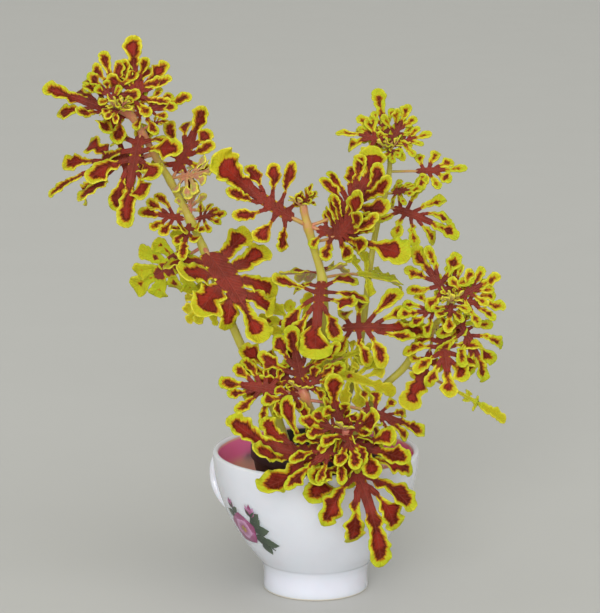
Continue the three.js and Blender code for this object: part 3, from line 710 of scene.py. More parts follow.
def velvet_blade(leaf):
    """Coleus blade, upper face: maroon velvet of short hairs, and a yellow margin that lets light in."""
    finish, add, place = new_finish("velvet_leaf")
    edge, inside, midvein, side_vein = blade_marks(add, place)
    tone_and_painted_shade, web = [add("Attribute", output="Fac", attribute_name=name) for name in ("tone_and_painted_shade", "web")]
    mottle, clouds, felt = [
        add("TexNoise", grains(place, *kind)) for kind in ((2.2, 3, 0.6), (9, 2), (0.28, 2, 0.7))
    ]
    # the maroon is darkest and brownest just inside the margin
    inward = add("Math", (inside, 0.8, -1.35), operation="MULTIPLY_ADD")
    inward = add("Math", (mottle, 1.9, inward), operation="MULTIPLY_ADD")
    # darker maroon in random patches, and painted shade from the tone on the lower and front shoots
    dark_patches_and_painted_shade = add("MapRange", (clouds, 0.42, 0.62, 0, 0.5), **SOFT_EDGE)
    dark_patches_and_painted_shade = add("Math", (tone_and_painted_shade, 0.35, dark_patches_and_painted_shade), operation="MULTIPLY_ADD")
    # the undivided middle and the midveins are redder
    ribbed = add("Math", (web, 0.5, 0.2), operation="MULTIPLY_ADD")
    ribbed = add("Math", (ribbed, midvein), operation="MULTIPLY")
    middle = add("Math", (mottle, 0.7, 0.15), operation="MULTIPLY_ADD")
    middle = add("Math", (web, middle), operation="MULTIPLY")
    ribbed = add("Math", (ribbed, middle), operation="MAXIMUM")
    veined = add("Math", (side_vein, 0.16), operation="MULTIPLY")
    maroon = painted(
        add, leaf.centre_dark, (inward, leaf.centre, -0.3, 0.9), (dark_patches_and_painted_shade, leaf.centre_dark),
        (ribbed, leaf.rib), (veined, leaf.rib),
    )
    # greener margin in random patches, and painted shade from the tone on the lower and front shoots
    green = add("MapRange", (clouds, 0.4, 0.6, 0, 0.4), **SOFT_EDGE)
    green = add("Math", (tone_and_painted_shade, 0.6, green), operation="MULTIPLY_ADD")
    # margin: lighter outermost yellow, a painted rim highlight, turning olive inwards
    base = painted(
        add, leaf.edge, (edge, leaf.edge_deep, 0.1, 1), (mottle, leaf.edge_deep, 0.5, 0.75),
        (green, leaf.edge_green), (inside, leaf.seam, -0.8, 0.1), (inside, maroon, -0.25, 0.6),
    )
    veins = add("Math", (side_vein, 0.6), operation="MULTIPLY")
    veins = add("Math", (midvein, veins), operation="MAXIMUM")
    sunk = add("Math", (veins, -1), operation="MULTIPLY")
    end_finish(
        add, base, ((mottle, 0.25), (sunk, 0.16), (felt, 0.05)), Roughness=0.58, IOR=1.4,
        Specular_IOR_Level=0.12, Sheen_Weight=0.02, Sheen_Roughness=0.4, Sheen_Tint=(1, 0.6, 0.5, 1),
        Subsurface_Weight=0.35, Subsurface_Radius=(0.9, 0.45, 0.2), Subsurface_Scale=0.001,
    )
    return finish


def blade_underside(leaf):
    """Coleus blade, lower face: paler, pink where the upper face is maroon, with raised veins."""
    finish, add, place = new_finish("leaf_underside")
    edge, inside, midvein, side_vein = blade_marks(add, place)
    mottle, felt = [add("TexNoise", grains(place, *kind)) for kind in ((2.6, 3, 0.6), (0.4, 2))]
    veined = add("Math", (side_vein, 0.3), operation="MULTIPLY")
    green = leaf.underside_green
    pink = painted(add, leaf.underside, (mottle, green, 0.4, 0.7), (veined, green))
    # the lighter outermost yellow here too is a painted rim highlight
    base = painted(add, leaf.edge, (edge, green, 0.2, 1.2), (inside, pink, -0.4, 0.3))
    veins = add("Math", (side_vein, 0.7), operation="MULTIPLY")
    veins = add("Math", (midvein, veins), operation="MAXIMUM")
    end_finish(
        add, base, ((felt, 0.05), (veins, 0.2)), Roughness=0.6, IOR=1.42, Sheen_Weight=0.12,
        Subsurface_Weight=0.35, Subsurface_Radius=(0.9, 0.5, 0.25), Subsurface_Scale=0.001,
    )
    return finish


def stem_skin(leaf):
    """Soft young stem: green-yellow, flushed pink towards the tips, with a faint lengthwise grain."""
    finish, add, place = new_finish("stem_skin")
    stretched = add("Mapping", {"Vector": place, "Scale": (1, 1, 0.22)})
    grain = add("TexNoise", grains(stretched, 0.7, 3))
    patches = add("Math", (add("TexNoise", grains(place, 7)), 0.9, -0.45), operation="MULTIPLY_ADD")
    blush = add("Attribute", output="Fac", attribute_name="blush")
    flush = add("Math", (blush, patches), operation="ADD")
    base = painted(
        add, leaf.stem, (flush, leaf.stem_blush, 0.25, 0.95), (grain, leaf.edge_deep, 0.55, 0.75),
    )
    end_finish(
        add, base, ((grain, 0.12),), Roughness=0.45, IOR=1.42, Sheen_Weight=0.15,
        Subsurface_Weight=0.2, Subsurface_Radius=(1.0, 0.6, 0.3), Subsurface_Scale=0.001,
    )
    return finish


def glazed_porcelain(cup):
    """Porcelain, thrown and glazed: near-white, glassy, pooled a little unevenly, pink inside, peach lower
    in as painted bounce light.
    """
    finish, add, place = new_finish("glazed_porcelain")
    pool = add("TexNoise", grains(place, 14))
    pink = add("Attribute", output="Fac", attribute_name="pink")
    # pink glaze over peach, which stands in as painted bounce light lower inside
    inner = painted(add, cup.peach_bounce_light, (pink, cup.pink, 0.35, 0.95))
    cloudy = add("Math", (pool, 0.24, -0.12), operation="MULTIPLY_ADD")
    cloudy = add("Math", (pink, cloudy), operation="ADD")
    pooled = shaded(cup.glaze, 0.965)
    base = painted(add, cup.glaze, (pool, pooled, 0.35, 0.75), (cloudy, inner, 0.02, 0.26))
    end_finish(
        add, base, ((pool, 0.12),), Roughness=0.13, IOR=1.5, Coat_Weight=0.35, Coat_Roughness=0.05,
        Subsurface_Weight=0.85, Subsurface_Radius=(1.0, 0.8, 0.8), Subsurface_Scale=0.008,
    )
    return finish


def gritty(name, tint, share, noise, depth, **skin):
    """Dull material whose colour sinks to a share of itself in its grains, and its surface by a depth."""
    finish, add, place = new_finish(name)
    grit = add("TexNoise", grains(place, *noise))
    base = painted(add, tint, (grit, shaded(tint, share)))
    end_finish(add, base, ((grit, depth),) if depth else (), **skin)
    return finish


def unglazed_foot(cup):
    """Bisque foot ring, wiped free of glaze: dry and finely grained."""
    return gritty("unglazed_porcelain", cup.bisque, 0.82, (0.5, 4, 0.7), 0.05, Roughness=0.85, IOR=1.5)


def overglaze(name, light, dark):
    """Transfer print fired on the glaze: colours that shade from heart to edge, a little less glossy."""
    finish, add, place = new_finish(name)
    dots = add("TexNoise", grains(place, 0.5, 3, 0.7))
    stipple = add("Math", (dots, 0.7, -0.35), operation="MULTIPLY_ADD")
    shade = add("Attribute", output="Fac", attribute_name="shade")
    shade = add("Math", (shade, stipple), operation="ADD")
    base = painted(add, light, (shade, dark, 0.1, 0.9))
    end_finish(add, base, (), Roughness=0.28, IOR=1.5, Coat_Weight=0.2)
    return finish


def moulded_plastic(pot):
    """Injection-moulded polypropylene of a nursery pot: black, half matt, with a fine orange peel."""
    finish, add, place = new_finish("moulded_polypropylene")
    peel, dust = [add("TexNoise", grains(place, *kind)) for kind in ((0.5, 2), (5, 4, 0.7))]
    dusty = tuple(value * 2.2 + 0.01 for value in pot.plastic)
    base = painted(add, pot.plastic, (dust, dusty, 0.5, 0.85))
    rough = add("MapRange", {"Value": dust, "To Min": 0.38, "To Max": 0.6})
    end_finish(add, base, ((peel, 0.04),), Roughness=rough, IOR=1.49)
    return finish


def potting_soil(pot):
    """Peat soil: dark, moist crumbs with dry fibres."""
    finish, add, place = new_finish("potting_soil")
    lengthwise = add("Mapping", {"Vector": place, "Scale": (1, 0.16, 1)})
    crumbs, fibres = [
        add("TexNoise", kind) for kind in (grains(place, 1.4, 5, 0.7), grains(lengthwise, 0.5))
    ]
    moist = shaded(pot.peat, 0.45)
    base = painted(add, pot.peat, (crumbs, moist, 0.4, 0.7), (fibres, pot.peat_dry, 0.62, 0.72))
    rough = add("MapRange", {"Value": crumbs, "To Min": 0.7, "To Max": 0.95})
    end_finish(add, base, ((crumbs, 0.5),), Roughness=rough, IOR=1.45)
    return finish


def perlite(pot):
    """Expanded perlite: white, dull and pitted."""
    return gritty("perlite", pot.perlite, 0.7, (0.4, 3, 0.7), 0.1, Roughness=0.9, IOR=1.5)


def matt_paper(studio):
    """Seamless paper backdrop: matt, with no pattern that could be seen."""
    return gritty("backdrop_paper", studio.backdrop, 0.97, (60,), 0, Roughness=0.9, IOR=1.4)


# ---------------------------------------------------------------- leaves


class Leaf:
    """Sizes of one leaf in millimetres, its pose in degrees and the curve of its midrib."""

    lobes = 1  # length of the side lobes, as a share of the form's
    margin = 1  # width of the yellow margin, as a share
    tip_margin = 0.8  # how much wider it gets round the ends of lobes
    end_margin = 0  # the same for the end lobe, where this is more
    neck_margin = 0  # share of it that the neck of a lobe keeps
    tip_neck = 0.46  # narrow part of the end lobe
    pale = 0  # how much of its maroon the leaf has lost in the shade

    def __init__(self, base, seed, heading, slope, droop, roll, sway, length, stalk, form, changes=()):
        self.__dict__.update(zip(FORM_COLUMNS, FORMS[form]))
        self.__dict__.update(changes)
        self.length, self.stalk, self.seed = length, stalk, seed
        self.stride = (length + stalk) / BLADE_STEPS
        heading, slope, droop, roll, sway = map(math.radians, (heading, slope, droop, roll, sway))
        level = math.cos(slope)
        along = np.array((level * math.cos(heading), level * math.sin(heading), math.sin(slope)))
        left = np.array((-math.sin(heading), math.cos(heading), 0.0))
        up = np.cross(along, left)
        left, up = turned(left, up, roll)
        along, up = turned(along, up, droop / 2)
        along, left = turned(along, left, -sway / 2)
        position = np.array(base, float)
        frames = [(position, along, left, up)]
        for _ in range(BLADE_STEPS):
            position = position + along * self.stride
            along, up = turned(along, up, -droop / BLADE_STEPS)
            along, left = turned(along, left, sway / BLADE_STEPS)
            frames.append((position, along, left, up))
        self.positions, self.alongs, self.lefts, self.ups = map(np.array, zip(*frames))

    def place(self, along, side, above):
        """Points of the curved leaf from their place on the flat one, measured from the stalk's end."""
        along, side, above = np.broadcast_arrays(along, side, above)
        step = (along + self.stalk) / self.stride
        near = np.clip(np.floor(step), 0, BLADE_STEPS - 1).astype(int)
        share = np.clip(step - near, 0, 1)
        beyond = (step - near - share) * self.stride
        share = share[..., None]
        points, left, up = [
            rows[near] * (1 - share) + rows[near + 1] * share
            for rows in (self.positions, self.lefts, self.ups)
        ]
        points = points + self.alongs[near] * beyond[..., None]
        return points + left * side[..., None] + up * above[..., None]

    def web_half(self, at):
        """Half width of the undivided middle."""
        share = np.maximum(0, at / self.length)
        swell = np.sin(np.pi * np.minimum(1, 0.15 + share / 0.72) ** 0.9)
        return self.length * self.web * (0.5 + 0.5 * swell)

    def vary(self, feature, middle, play):
        """Repeatable value round its middle for one feature of this leaf."""
        return middle + play * spread(self.seed, feature)

    def lobe_line(self, index, side, root_at, root_side):
        """A side lobe's centre line on the flat leaf (along, side, above, direction), and its sizes."""
        feature = 20 * index + (10 if side > 0 else 0)
        angle = math.radians(self.vary(feature, lerp(*self.swing, index / (self.pairs - 1)), SWING_PLAY))
        length = self.length * self.lobe * self.profile[index] * self.lobes
        length *= self.vary(feature + 1, 1, LENGTH_PLAY)
        width = self.length * self.width * self.vary(feature + 2, 1, WIDTH_PLAY)
        width *= min(1, 0.4 + 0.6 * self.lobes)
        lift = math.radians(self.vary(feature + 3, *LOBE_LIFT))
        curl = math.radians(self.vary(feature + 4, *LOBE_CURL))
        bend = math.radians(self.vary(feature + 5, *LOBE_BEND))
        twist = math.radians(self.vary(feature + 11, *LOBE_TWIST))
        share = (np.arange(LOBE_STEPS) + 0.5) / LOBE_STEPS
        heading, rise = angle + bend * share, lift + curl * share
        step = length / LOBE_STEPS
        along = root_at + np.append(0, np.cumsum(np.cos(heading) * np.cos(rise) * step))
        out = root_side + side * np.append(0, np.cumsum(np.sin(heading) * np.cos(rise) * step))
        above = np.append(0, np.cumsum(np.sin(rise) * step))
        direction = angle + bend * np.linspace(0, 1, LOBE_STEPS + 1)
        return np.array((along, out, above, direction)), length, width, twist, feature


def turned(a, b, angle):
    """Two directions at right angles, turned in their plane."""
    c, s = math.cos(angle), math.sin(angle)
    return a * c + b * s, b * c - a * s


def lobe_half_width(s, width, root, neck):
    """Half width of a lobe at share s of its length, before its teeth."""
    body = neck + (1 - neck) * smooth(0.28, 0.75, s)
    half = lerp(root, width / 2 * body, smooth(0, 0.12, s))
    round_end = np.sqrt(np.maximum(0, 1 - ((s - TIP_ROUND) / (1 - TIP_ROUND)) ** 2))
    return np.where(s > TIP_ROUND, half * round_end, half)


def toothed(s, half, length, width, seed, feature):
    """Half width along one edge of a lobe, with its rounded teeth and up to two larger bulges."""
    place = s * length / lerp(*TOOTH_SPACING, draw(seed, feature)) + draw(seed, feature + 1)
    tooth = np.abs(np.sin(np.pi * place)) ** 0.55 - 0.95
    unequal = 0.55 + 0.9 * np.abs(np.sin(7.3 * np.floor(place) + seed + feature))
    window = smooth(0.12, 0.28, s) * (1 - smooth(0.84, 0.95, s))
    half = half + window * min(TOOTH_DEPTH, 0.11 * width) * tooth * unequal
    for low, high, extra in ((0.26, 0.46, 2), (0.52, 0.72, 4)):
        bulge_at = lerp(low, high, draw(seed, feature + extra))
        bulge = 0.3 * width * max(0, draw(seed, feature + extra + 1) * 1.7 - 0.6)
        bulge_shape = np.exp(-(((s - bulge_at) * length / (0.4 + 0.16 * width)) ** 2))
        half = half + bulge * bulge_shape * smooth(0.1, 0.25, s)
    return half


def lobe_rows(length):
    """Shares of a lobe's length at which its outline is set out, closer near the round end."""
    count = int(np.clip(length / ROW_SPACING, FEWEST_ROWS, MOST_ROWS))
    share = np.linspace(0, 1, count + 1)[1:]
    return 0.998 * (share + 0.06 * np.sin(np.pi * share) ** 2)


def lobe_surface(s, v, length, width, half, seed, feature):
    """Sideways reach and height of a lobe's points, for rows s and columns v from -1 to 1, and way in."""
    far_side = v[None] < 0
    edges = [toothed(s, half, length, width, seed, feature + offset)[:, None] for offset in (500, 540)]
    reach = np.where(far_side, *edges)
    fold = lerp(*FOLD, draw(seed, feature + 7))
    ruffle = lerp(*RUFFLE, draw(seed, feature + 8))
    phase = 6.28 * draw(seed, feature + 6)
    waves = [
        np.sin(2 * np.pi * s * length / lerp(*RUFFLE_SPACING, draw(seed, feature + offset)) + late * phase)
        for offset, late in ((9, 1), (12, 2.3))
    ]
    wave = np.where(far_side, *(each[:, None] for each in waves))
    start = smooth(0.02, 0.25, s)[:, None]
    height = half[:, None] * start * (fold * np.abs(v[None]) ** 1.6 + ruffle * wave * v[None] ** 2)
    edge = np.minimum((1 - np.abs(v[None])) * reach, (1 - s[:, None]) * length * 0.9)
    return reach * v[None], height, edge


def margin_width(leaf, s, width, wider=0):
    """Width of the yellow margin: none on most necks, widest round the end, less on a narrow lobe."""
    neck = lerp(leaf.neck_margin, 1, smooth(0.12, 0.4, s))
    end = 1 + max(leaf.tip_margin, wider) * smooth(0.62, 0.94, s)
    return (leaf.margin * (0.35 + 0.07 * width) * neck * end)[:, None]


def web_outline(leaf):
    """Rows of the undivided middle (place, half width, 1 between lobes), and where each lobe starts."""
    length, root_half = leaf.length, leaf.root * leaf.length
    stalk_half = max(0.6, 0.018 * length)
    rows, starts = [(-0.8, stalk_half, 0)], []
    for i in range(leaf.pairs):
        middle = lerp(leaf.first, leaf.last, i / (leaf.pairs - 1)) * length
        gap = middle - root_half - rows[-1][0]
        for _ in range(2 if gap > 0.03 * length else 0):
            at = rows[-1][0] + gap / 3
            rows.append((at, max(stalk_half, leaf.web_half(at)), 1))
        starts.append(len(rows))
        for at in np.linspace(middle - root_half, middle + root_half, LOBE_COLUMNS + 1):
            rows.append((at, leaf.web_half(at), 0))
    return np.array(rows).T, starts


def add_end_lobe(work, leaf, web, start, root_half, facts):
    """Adds the end lobe after the last row of the middle, and returns where its midvein ends."""
    at = max((1 - leaf.tip) * leaf.length, start + 0.012 * leaf.length)
    length, width = leaf.length - at, leaf.length * leaf.tip_width
    s, v = lobe_rows(length), np.linspace(1, -1, RIB_COLUMNS + 1)
    half = lobe_half_width(s, width, root_half, leaf.tip_neck)
    side, height, edge = lobe_surface(s, v, length, width, half, leaf.seed, END_LOBE)
    rows = work.add_points(
        leaf.place(at + s[:, None] * length, side, height), edge=edge, across=side,
        margin=margin_width(leaf, s, width, leaf.end_margin), rise=s[:, None] * length + 0 * v,
        web=(1 - smooth(0, 0.4, s))[:, None], **facts,
    )
    work.add_grid(np.concatenate([web[-1:], rows]))
    return at + VEIN_SHARE * length


def add_side_lobe(work, leaf, index, sign, root, root_at, reach_at, facts):
    """Adds a side lobe to its row of points on the middle, and returns its vein's line."""
    line, length, width, twist, feature = leaf.lobe_line(index, sign, root_at, sign * reach_at)
    s, v = lobe_rows(length), np.linspace(-1, 1, LOBE_COLUMNS + 1)
    along, out, above, direction = [
        np.interp(s * LOBE_STEPS, np.arange(LOBE_STEPS + 1), values)[:, None] for values in line
    ]
    half = lobe_half_width(s, width, leaf.root * leaf.length, leaf.neck)
    across, raised, edge = lobe_surface(s, v, length, width, half, leaf.seed, feature)
    turn = (twist * s)[:, None]
    side = across * np.cos(turn) - raised * np.sin(turn)
    height = raised * np.cos(turn) + across * np.sin(turn)
    lobe = work.add_points(
        leaf.place(along + np.sin(direction) * side, out - sign * np.cos(direction) * side, above + height),
        edge=edge, across=across, margin=margin_width(leaf, s, width), rise=s[:, None] * length + 0 * v,
        web=(1 - smooth(0, 0.45, s))[:, None], **facts,
    )
    work.add_grid(np.concatenate([root[None], lobe]), flip=sign < 0)
    start = np.array([[root_at - 0.7 * reach_at], [0], [-0.06 * reach_at - 0.1]])
    return np.concatenate([start, line[:3, : int(VEIN_SHARE * LOBE_STEPS) : 2]], axis=1)


def add_blade(work, leaf, shade):
    """Adds a leaf's blade and returns its stalk and large veins as (along, side, above, radius) lines."""
    # tone: random for each leaf, but never below its shoot's painted shade
    facts = {"tone_and_painted_shade": lerp(shade, 1, draw(leaf.seed, 900)), "pale": leaf.pale}
    (stations, halves, between), starts = web_outline(leaf)
    v, half = np.linspace(1, -1, RIB_COLUMNS + 1), halves[:, None]
    web = work.add_points(
        leaf.place(stations[:, None], v * half, 0.12 * half * (np.abs(v) - 0.5)),
        edge=(1 - np.abs(v)) * half, across=v * half, rise=stations[:, None] + 0 * v, web=1,
        margin=leaf.margin * 0.7 * (between * smooth(1.2, 3.5, halves))[:, None], **facts,
    )
    work.add_grid(web)
    end = add_end_lobe(work, leaf, web, stations[-1], halves[-1], facts)
    line = np.linspace(-leaf.stalk, end, BLADE_STEPS)
    thick = max(0.55, 0.1 + 0.02 * leaf.length)
    radius = np.where(line < 0, thick, lerp(0.8 * thick, 0.16, np.clip(line / end, 0, 1)))
    dip = 0.06 * leaf.web_half(line) * (1 - smooth(stations[-1], end, line))
    veins = [(line, 0 * line, -(0.12 + 0.95 * radius + dip) * smooth(-3, 1, line), radius)]
    for index, start in enumerate(starts):
        span = slice(start, start + LOBE_COLUMNS + 1)
        root_at, reach_at = [(values[span][0] + values[span][-1]) / 2 for values in (stations, halves)]
        for sign, column in ((1, 0), (-1, -1)):
            vein = add_side_lobe(work, leaf, index, sign, web[span, column], root_at, reach_at, facts)
            radius = np.linspace(0.35 * thick, 0.1, vein.shape[1])
            veins.append((vein[0], vein[1], vein[2] - 0.3 - 0.7 * radius, radius))
    return veins


def young_leaves(seed, pairs):
    """Rows of the tiny leaves that crowd round a growing tip: pairs set crosswise, smaller and steeper."""
    rows = []
    for pair in range(pairs):
        length = YOUNG_LENGTH - YOUNG_STEP * pair
        for opposite in (0, 180):
            heading = 60 + 90 * pair + opposite + 15 * spread(seed, pair + opposite)
            slope = 25 + 22 * pair + 8 * spread(seed, 40 + pair + opposite)
            rows.append((heading, slope, -25, 0, 0, length, YOUNG_STALK, "bud"))
    return rows


def add_hairs(work, centres, radii, seed):
    """Short tapering hairs all round a stem."""
    random = np.random.default_rng(seed)
    along, sides, ups = path_frames(centres)
    count = int(HAIRS_PER_MM * np.linalg.norm(np.diff(centres, axis=0), axis=1).sum())
    for place, angle, reach in random.random((count, 3)):
        i = min(int(place * (len(centres) - 1)), len(centres) - 2)
        share = place * (len(centres) - 1) - i
        out = math.cos(2 * math.pi * angle) * sides[i] + math.sin(2 * math.pi * angle) * ups[i]
        foot = lerp(centres[i], centres[i + 1], share) + out * radii[i] * 0.92
        flank = np.cross(along[i], out)
        corners = [foot + HAIR_RADIUS * (along[i] * a + flank * b) for a, b in HAIR_CORNERS]
        tip = foot + (out + 0.25 * along[i]) * lerp(*HAIR_LENGTH, reach)
        a, b, c, d = work.add_points([*corners, tip], blush=0.1).tolist()
        work.add_faces([(a, b, d), (b, c, d), (c, a, d), (c, b, a)])


def build_shoot(node, shoot, number, settings, finishes):
    """One leafy stem as two pieces: stem with stalks and veins, and blades."""
    rods, blades = Patchwork(), Patchwork()
    centres = smooth_path(shoot["path"], 8)
    heights = centres[:, 2]
    radii = np.linspace(*shoot["radii"], len(centres))
    for row in shoot["leaves"]:
        radii = radii * (1 + NODE_SWELL * np.exp(-(((heights - row[0]) / NODE_REACH) ** 2)))
    radii = np.minimum(radii, 1.3 * shoot["radii"][0])
    blush = shoot["blush"] * smooth(0.25, 1, np.linspace(0, 1, len(centres)))
    add_rod(rods, centres, radii, STEM_CORNERS, squareness=0.07, blush=0.1 + blush)
    add_hairs(rods, centres, radii, number)
    rows = [(min(np.searchsorted(heights, row[0]), len(heights) - 1), row[1:]) for row in shoot["leaves"]]
    rows += [(-1, row) for row in young_leaves(number, shoot["young_pairs"])]
    for index, (at, row) in enumerate(rows):
        leaf = Leaf(centres[at], 20 * (number + 1) + index + 0.5, *row)
        wide = BROAD_MARGIN if row[7] == "broad" else 1
        leaf.margin *= in_mm(settings, "margin") * shoot["margin"] * wide
        for vein, (along, side, above, radius) in enumerate(add_blade(blades, leaf, shoot["shade"])):
            corners = SIDE_VEIN_CORNERS if vein else MIDVEIN_CORNERS
            line = leaf.place(along, side, above)
            add_rod(rods, line, radius, corners, blush=0.5 + 0.4 * shoot["blush"])
    stem, upper, lower = finishes
    make_piece(f"{node}_stem", rods, [stem], node)
    piece = make_piece(f"{node}_blades", blades, [upper, lower], node)
    thicken(piece, settings.blade, back_finish=1)


# ---------------------------------------------------------------- cup


def bowl_radius(height, cup):
    """Outer radius of the cup's bowl at a height."""
    top, start = in_mm(cup, "height"), in_mm(cup, "foot_height")
    foot, rim = in_mm(cup, "foot_radius"), in_mm(cup, "rim_radius")
    share = np.clip((height - start) / (top - start), 0, 1)
    return foot + (rim - foot) * np.sin(np.pi / 2 * share**BOWL_CURVE)


def cup_profile(cup):
    """Profile of the cup from under its foot, up the outside, over the lip and down to the inner floor."""
    top, foot_top, foot = in_mm(cup, "height"), in_mm(cup, "foot_height"), in_mm(cup, "foot_radius")
    recess, floor = in_mm(cup, "foot_recess"), in_mm(cup, "floor_height")
    ring = foot - FOOT_RING
    # hollow underside, and the rounded ring that the cup stands on
    profile = [(0, recess), (ring - 1.2, recess), (ring - 0.5, recess - 0.3), (ring, 0.15), (ring + 0.4, 0)]
    profile += [(foot - 1.2, 0), (foot - 0.7, 0.12), (foot - 0.4, 0.45)]
    bare = len(profile)
    # waisted side of the foot
    for t in np.linspace(0, 1, 12)[:-1]:
        profile.append((foot - 0.3 + 0.3 * t - 0.5 * math.sin(math.pi * t), lerp(0.8, foot_top, t)))
    blend_from = len(profile) - 4
    # outside of the bowl
    lip = in_mm(cup, "rim_wall") / 2
    lip_centre = in_mm(cup, "rim_radius") - lip
    shares = np.linspace(0, 1, BOWL_ROWS) ** 1.5
    outer = lerp(foot_top, top - lip, shares)
    profile += [(float(bowl_radius(z, cup)), z) for z in outer]
    # it runs into the foot with a soft hollow
    for i in range(blend_from, blend_from + 16):
        radius, z = profile[i]
        profile[i] = (radius + 0.45 * math.exp(-(((z - foot_top) / 1.8) ** 2)), z)
    # round lip
    for tilt in np.linspace(0, math.pi, 13)[1:-1]:
        profile.append((lip_centre + lip * math.cos(tilt), top - lip + lip * math.sin(tilt)))
    # inside, down to the floor
    mouth = len(profile)
    inner = lerp(floor + 7, top - lip, shares)[::-1]
    thick = lerp(in_mm(cup, "wall") + 0.5, in_mm(cup, "rim_wall"), inner / top)
    profile += list(zip(bowl_radius(inner, cup) - thick, inner))
    start = np.array(profile[-1])
    low, corner = np.array((foot - 3.8, floor + 0.8)), np.array((foot - 4.4, floor))
    profile += [tuple(lerp(start, low, t) + (0.5 * math.sin(math.pi * t), 0)) for t in (0.25, 0.5, 0.75, 1)]
    profile += [tuple(lerp(low, corner, 0.6)), tuple(corner - (0.8, 0)), (0, floor)]
    return np.array(profile), bare, mouth


def build_cup(cup):
    """Footed cup with its handle, as one piece of porcelain."""
    work = Patchwork()
    profile, bare, mouth = cup_profile(cup)
    depth = in_mm(cup, "height") - profile[:, 1]
    # below, the pink gives way to the peach of painted bounce light
    pink = smooth(*PINK_START, depth) * lerp(1, PINK_LOW, smooth(*PINK_FADE, depth))
    pink[:mouth] = 0
    turn(work, profile, CUP_CORNERS, pink=pink)
    foot_faces = (bare - 1) * CUP_CORNERS
    work.finishes[:foot_faces] = [1] * foot_faces
    add_handle(work)
    make_piece("cup_body", work, [glazed_porcelain(cup), unglazed_foot(cup)], "cup")


def add_handle(work):
    """Loop handle, swollen where it meets the bowl."""
    heading = math.radians(HANDLE_HEADING)
    route = smooth_path([(r * math.cos(heading), r * math.sin(heading), z) for r, z in HANDLE_ROUTE], 6)
    along = unit(np.gradient(route, axis=0))
    flank = np.array((-math.sin(heading), math.cos(heading), 0))
    outward = np.cross(flank, along)
    gone = np.append(0, np.cumsum(np.linalg.norm(np.diff(route, axis=0), axis=1)))
    swell = 1 + 0.4 * np.exp(-gone / 2.4) + 0.5 * np.exp(-(gone[-1] - gone) / 2.8)
    angles, swell = round_corners(HANDLE_CORNERS)[None, :, None], swell[:, None, None]
    across = HANDLE_WIDTH / 2 * swell * np.cos(angles) * flank
    thick = HANDLE_THICKNESS / 2 * swell * np.sin(angles) * outward[:, None]
    rings = work.add_points(route[:, None] + across + thick, pink=0)
    work.add_grid(rings, around=True, flip=True)
    foot, tip = work.add_points(route[[0, -1]], pink=0)
    work.add_fan(foot, rings[0])
    work.add_fan(tip, rings[-1][::-1])


class Print:
    """Flat shapes laid on the bowl round one spot: across to the right and up the bowl, in millimetres."""

    def __init__(self, cup):
        heights = np.linspace(in_mm(cup, "foot_height") + 0.5, in_mm(cup, "height") - 2, 200)
        radii = bowl_radius(heights, cup)
        run = np.append(0, np.cumsum(np.hypot(np.diff(radii), np.diff(heights))))
        self.heights, self.radii = heights, radii
        self.run = run - np.interp(SPRIG_HEIGHT, heights, run)
        self.lean = np.gradient(radii, run)
        self.climb = np.gradient(heights, run)

    def place(self, across, up, lift):
        """Points on the bowl, lifted a little off its glaze."""
        across, up = across * SPRIG_SCALE, up * SPRIG_SCALE
        height = np.interp(up, self.run, self.heights)
        radius = np.interp(up, self.run, self.radii)
        lean, climb = np.interp(up, self.run, self.lean), np.interp(up, self.run, self.climb)
        heading = math.radians(SPRIG_HEADING) + across / radius
        radius, height = radius + lift * climb, height - lift * lean
        return np.stack([radius * np.cos(heading), radius * np.sin(heading), height], -1)

    def add_petal(self, work, at, aim, size, finish, lift, shade, fullness=0.7, teeth=0):
        """Petal or leaf of a length and width, from its foot, aimed in degrees from straight right. shade
        runs from foot to end."""
        length, width = size
        t = np.linspace(0, 1, 13)[:, None]
        v = np.linspace(1, -1, 7)[None]
        half = width / 2 * np.sin(np.pi * np.clip(t, 0.02, 0.985) ** fullness)
        half = half * (1 + teeth * np.abs(np.sin(np.pi * 4.5 * t)))
        along, side = length * t + 0 * v, v * half
        aim = math.radians(aim)
        across = at[0] + along * math.cos(aim) - side * math.sin(aim)
        up = at[1] + along * math.sin(aim) + side * math.cos(aim)
        tint = lerp(shade[0], shade[1], t) + 0.25 * (1 - np.abs(v)) ** 2 * (1 - t)
        work.add_grid(work.add_points(self.place(across, up, lift), shade=tint), finish=finish)

    def add_stalk(self, work, points, width, finish, lift):
        """Thin printed line through points."""
        route = smooth_path([(*p, 0) for p in points], 6)
        along = unit(np.gradient(route, axis=0))
        side = np.stack([-along[:, 1], along[:, 0]], -1) * width / 2
        v = np.array((1, -1))[None]
        across, up = route[:, :1] + side[:, :1] * v, route[:, 1:2] + side[:, 1:2] * v
        work.add_grid(work.add_points(self.place(across, up, lift), shade=0.8), finish=finish)


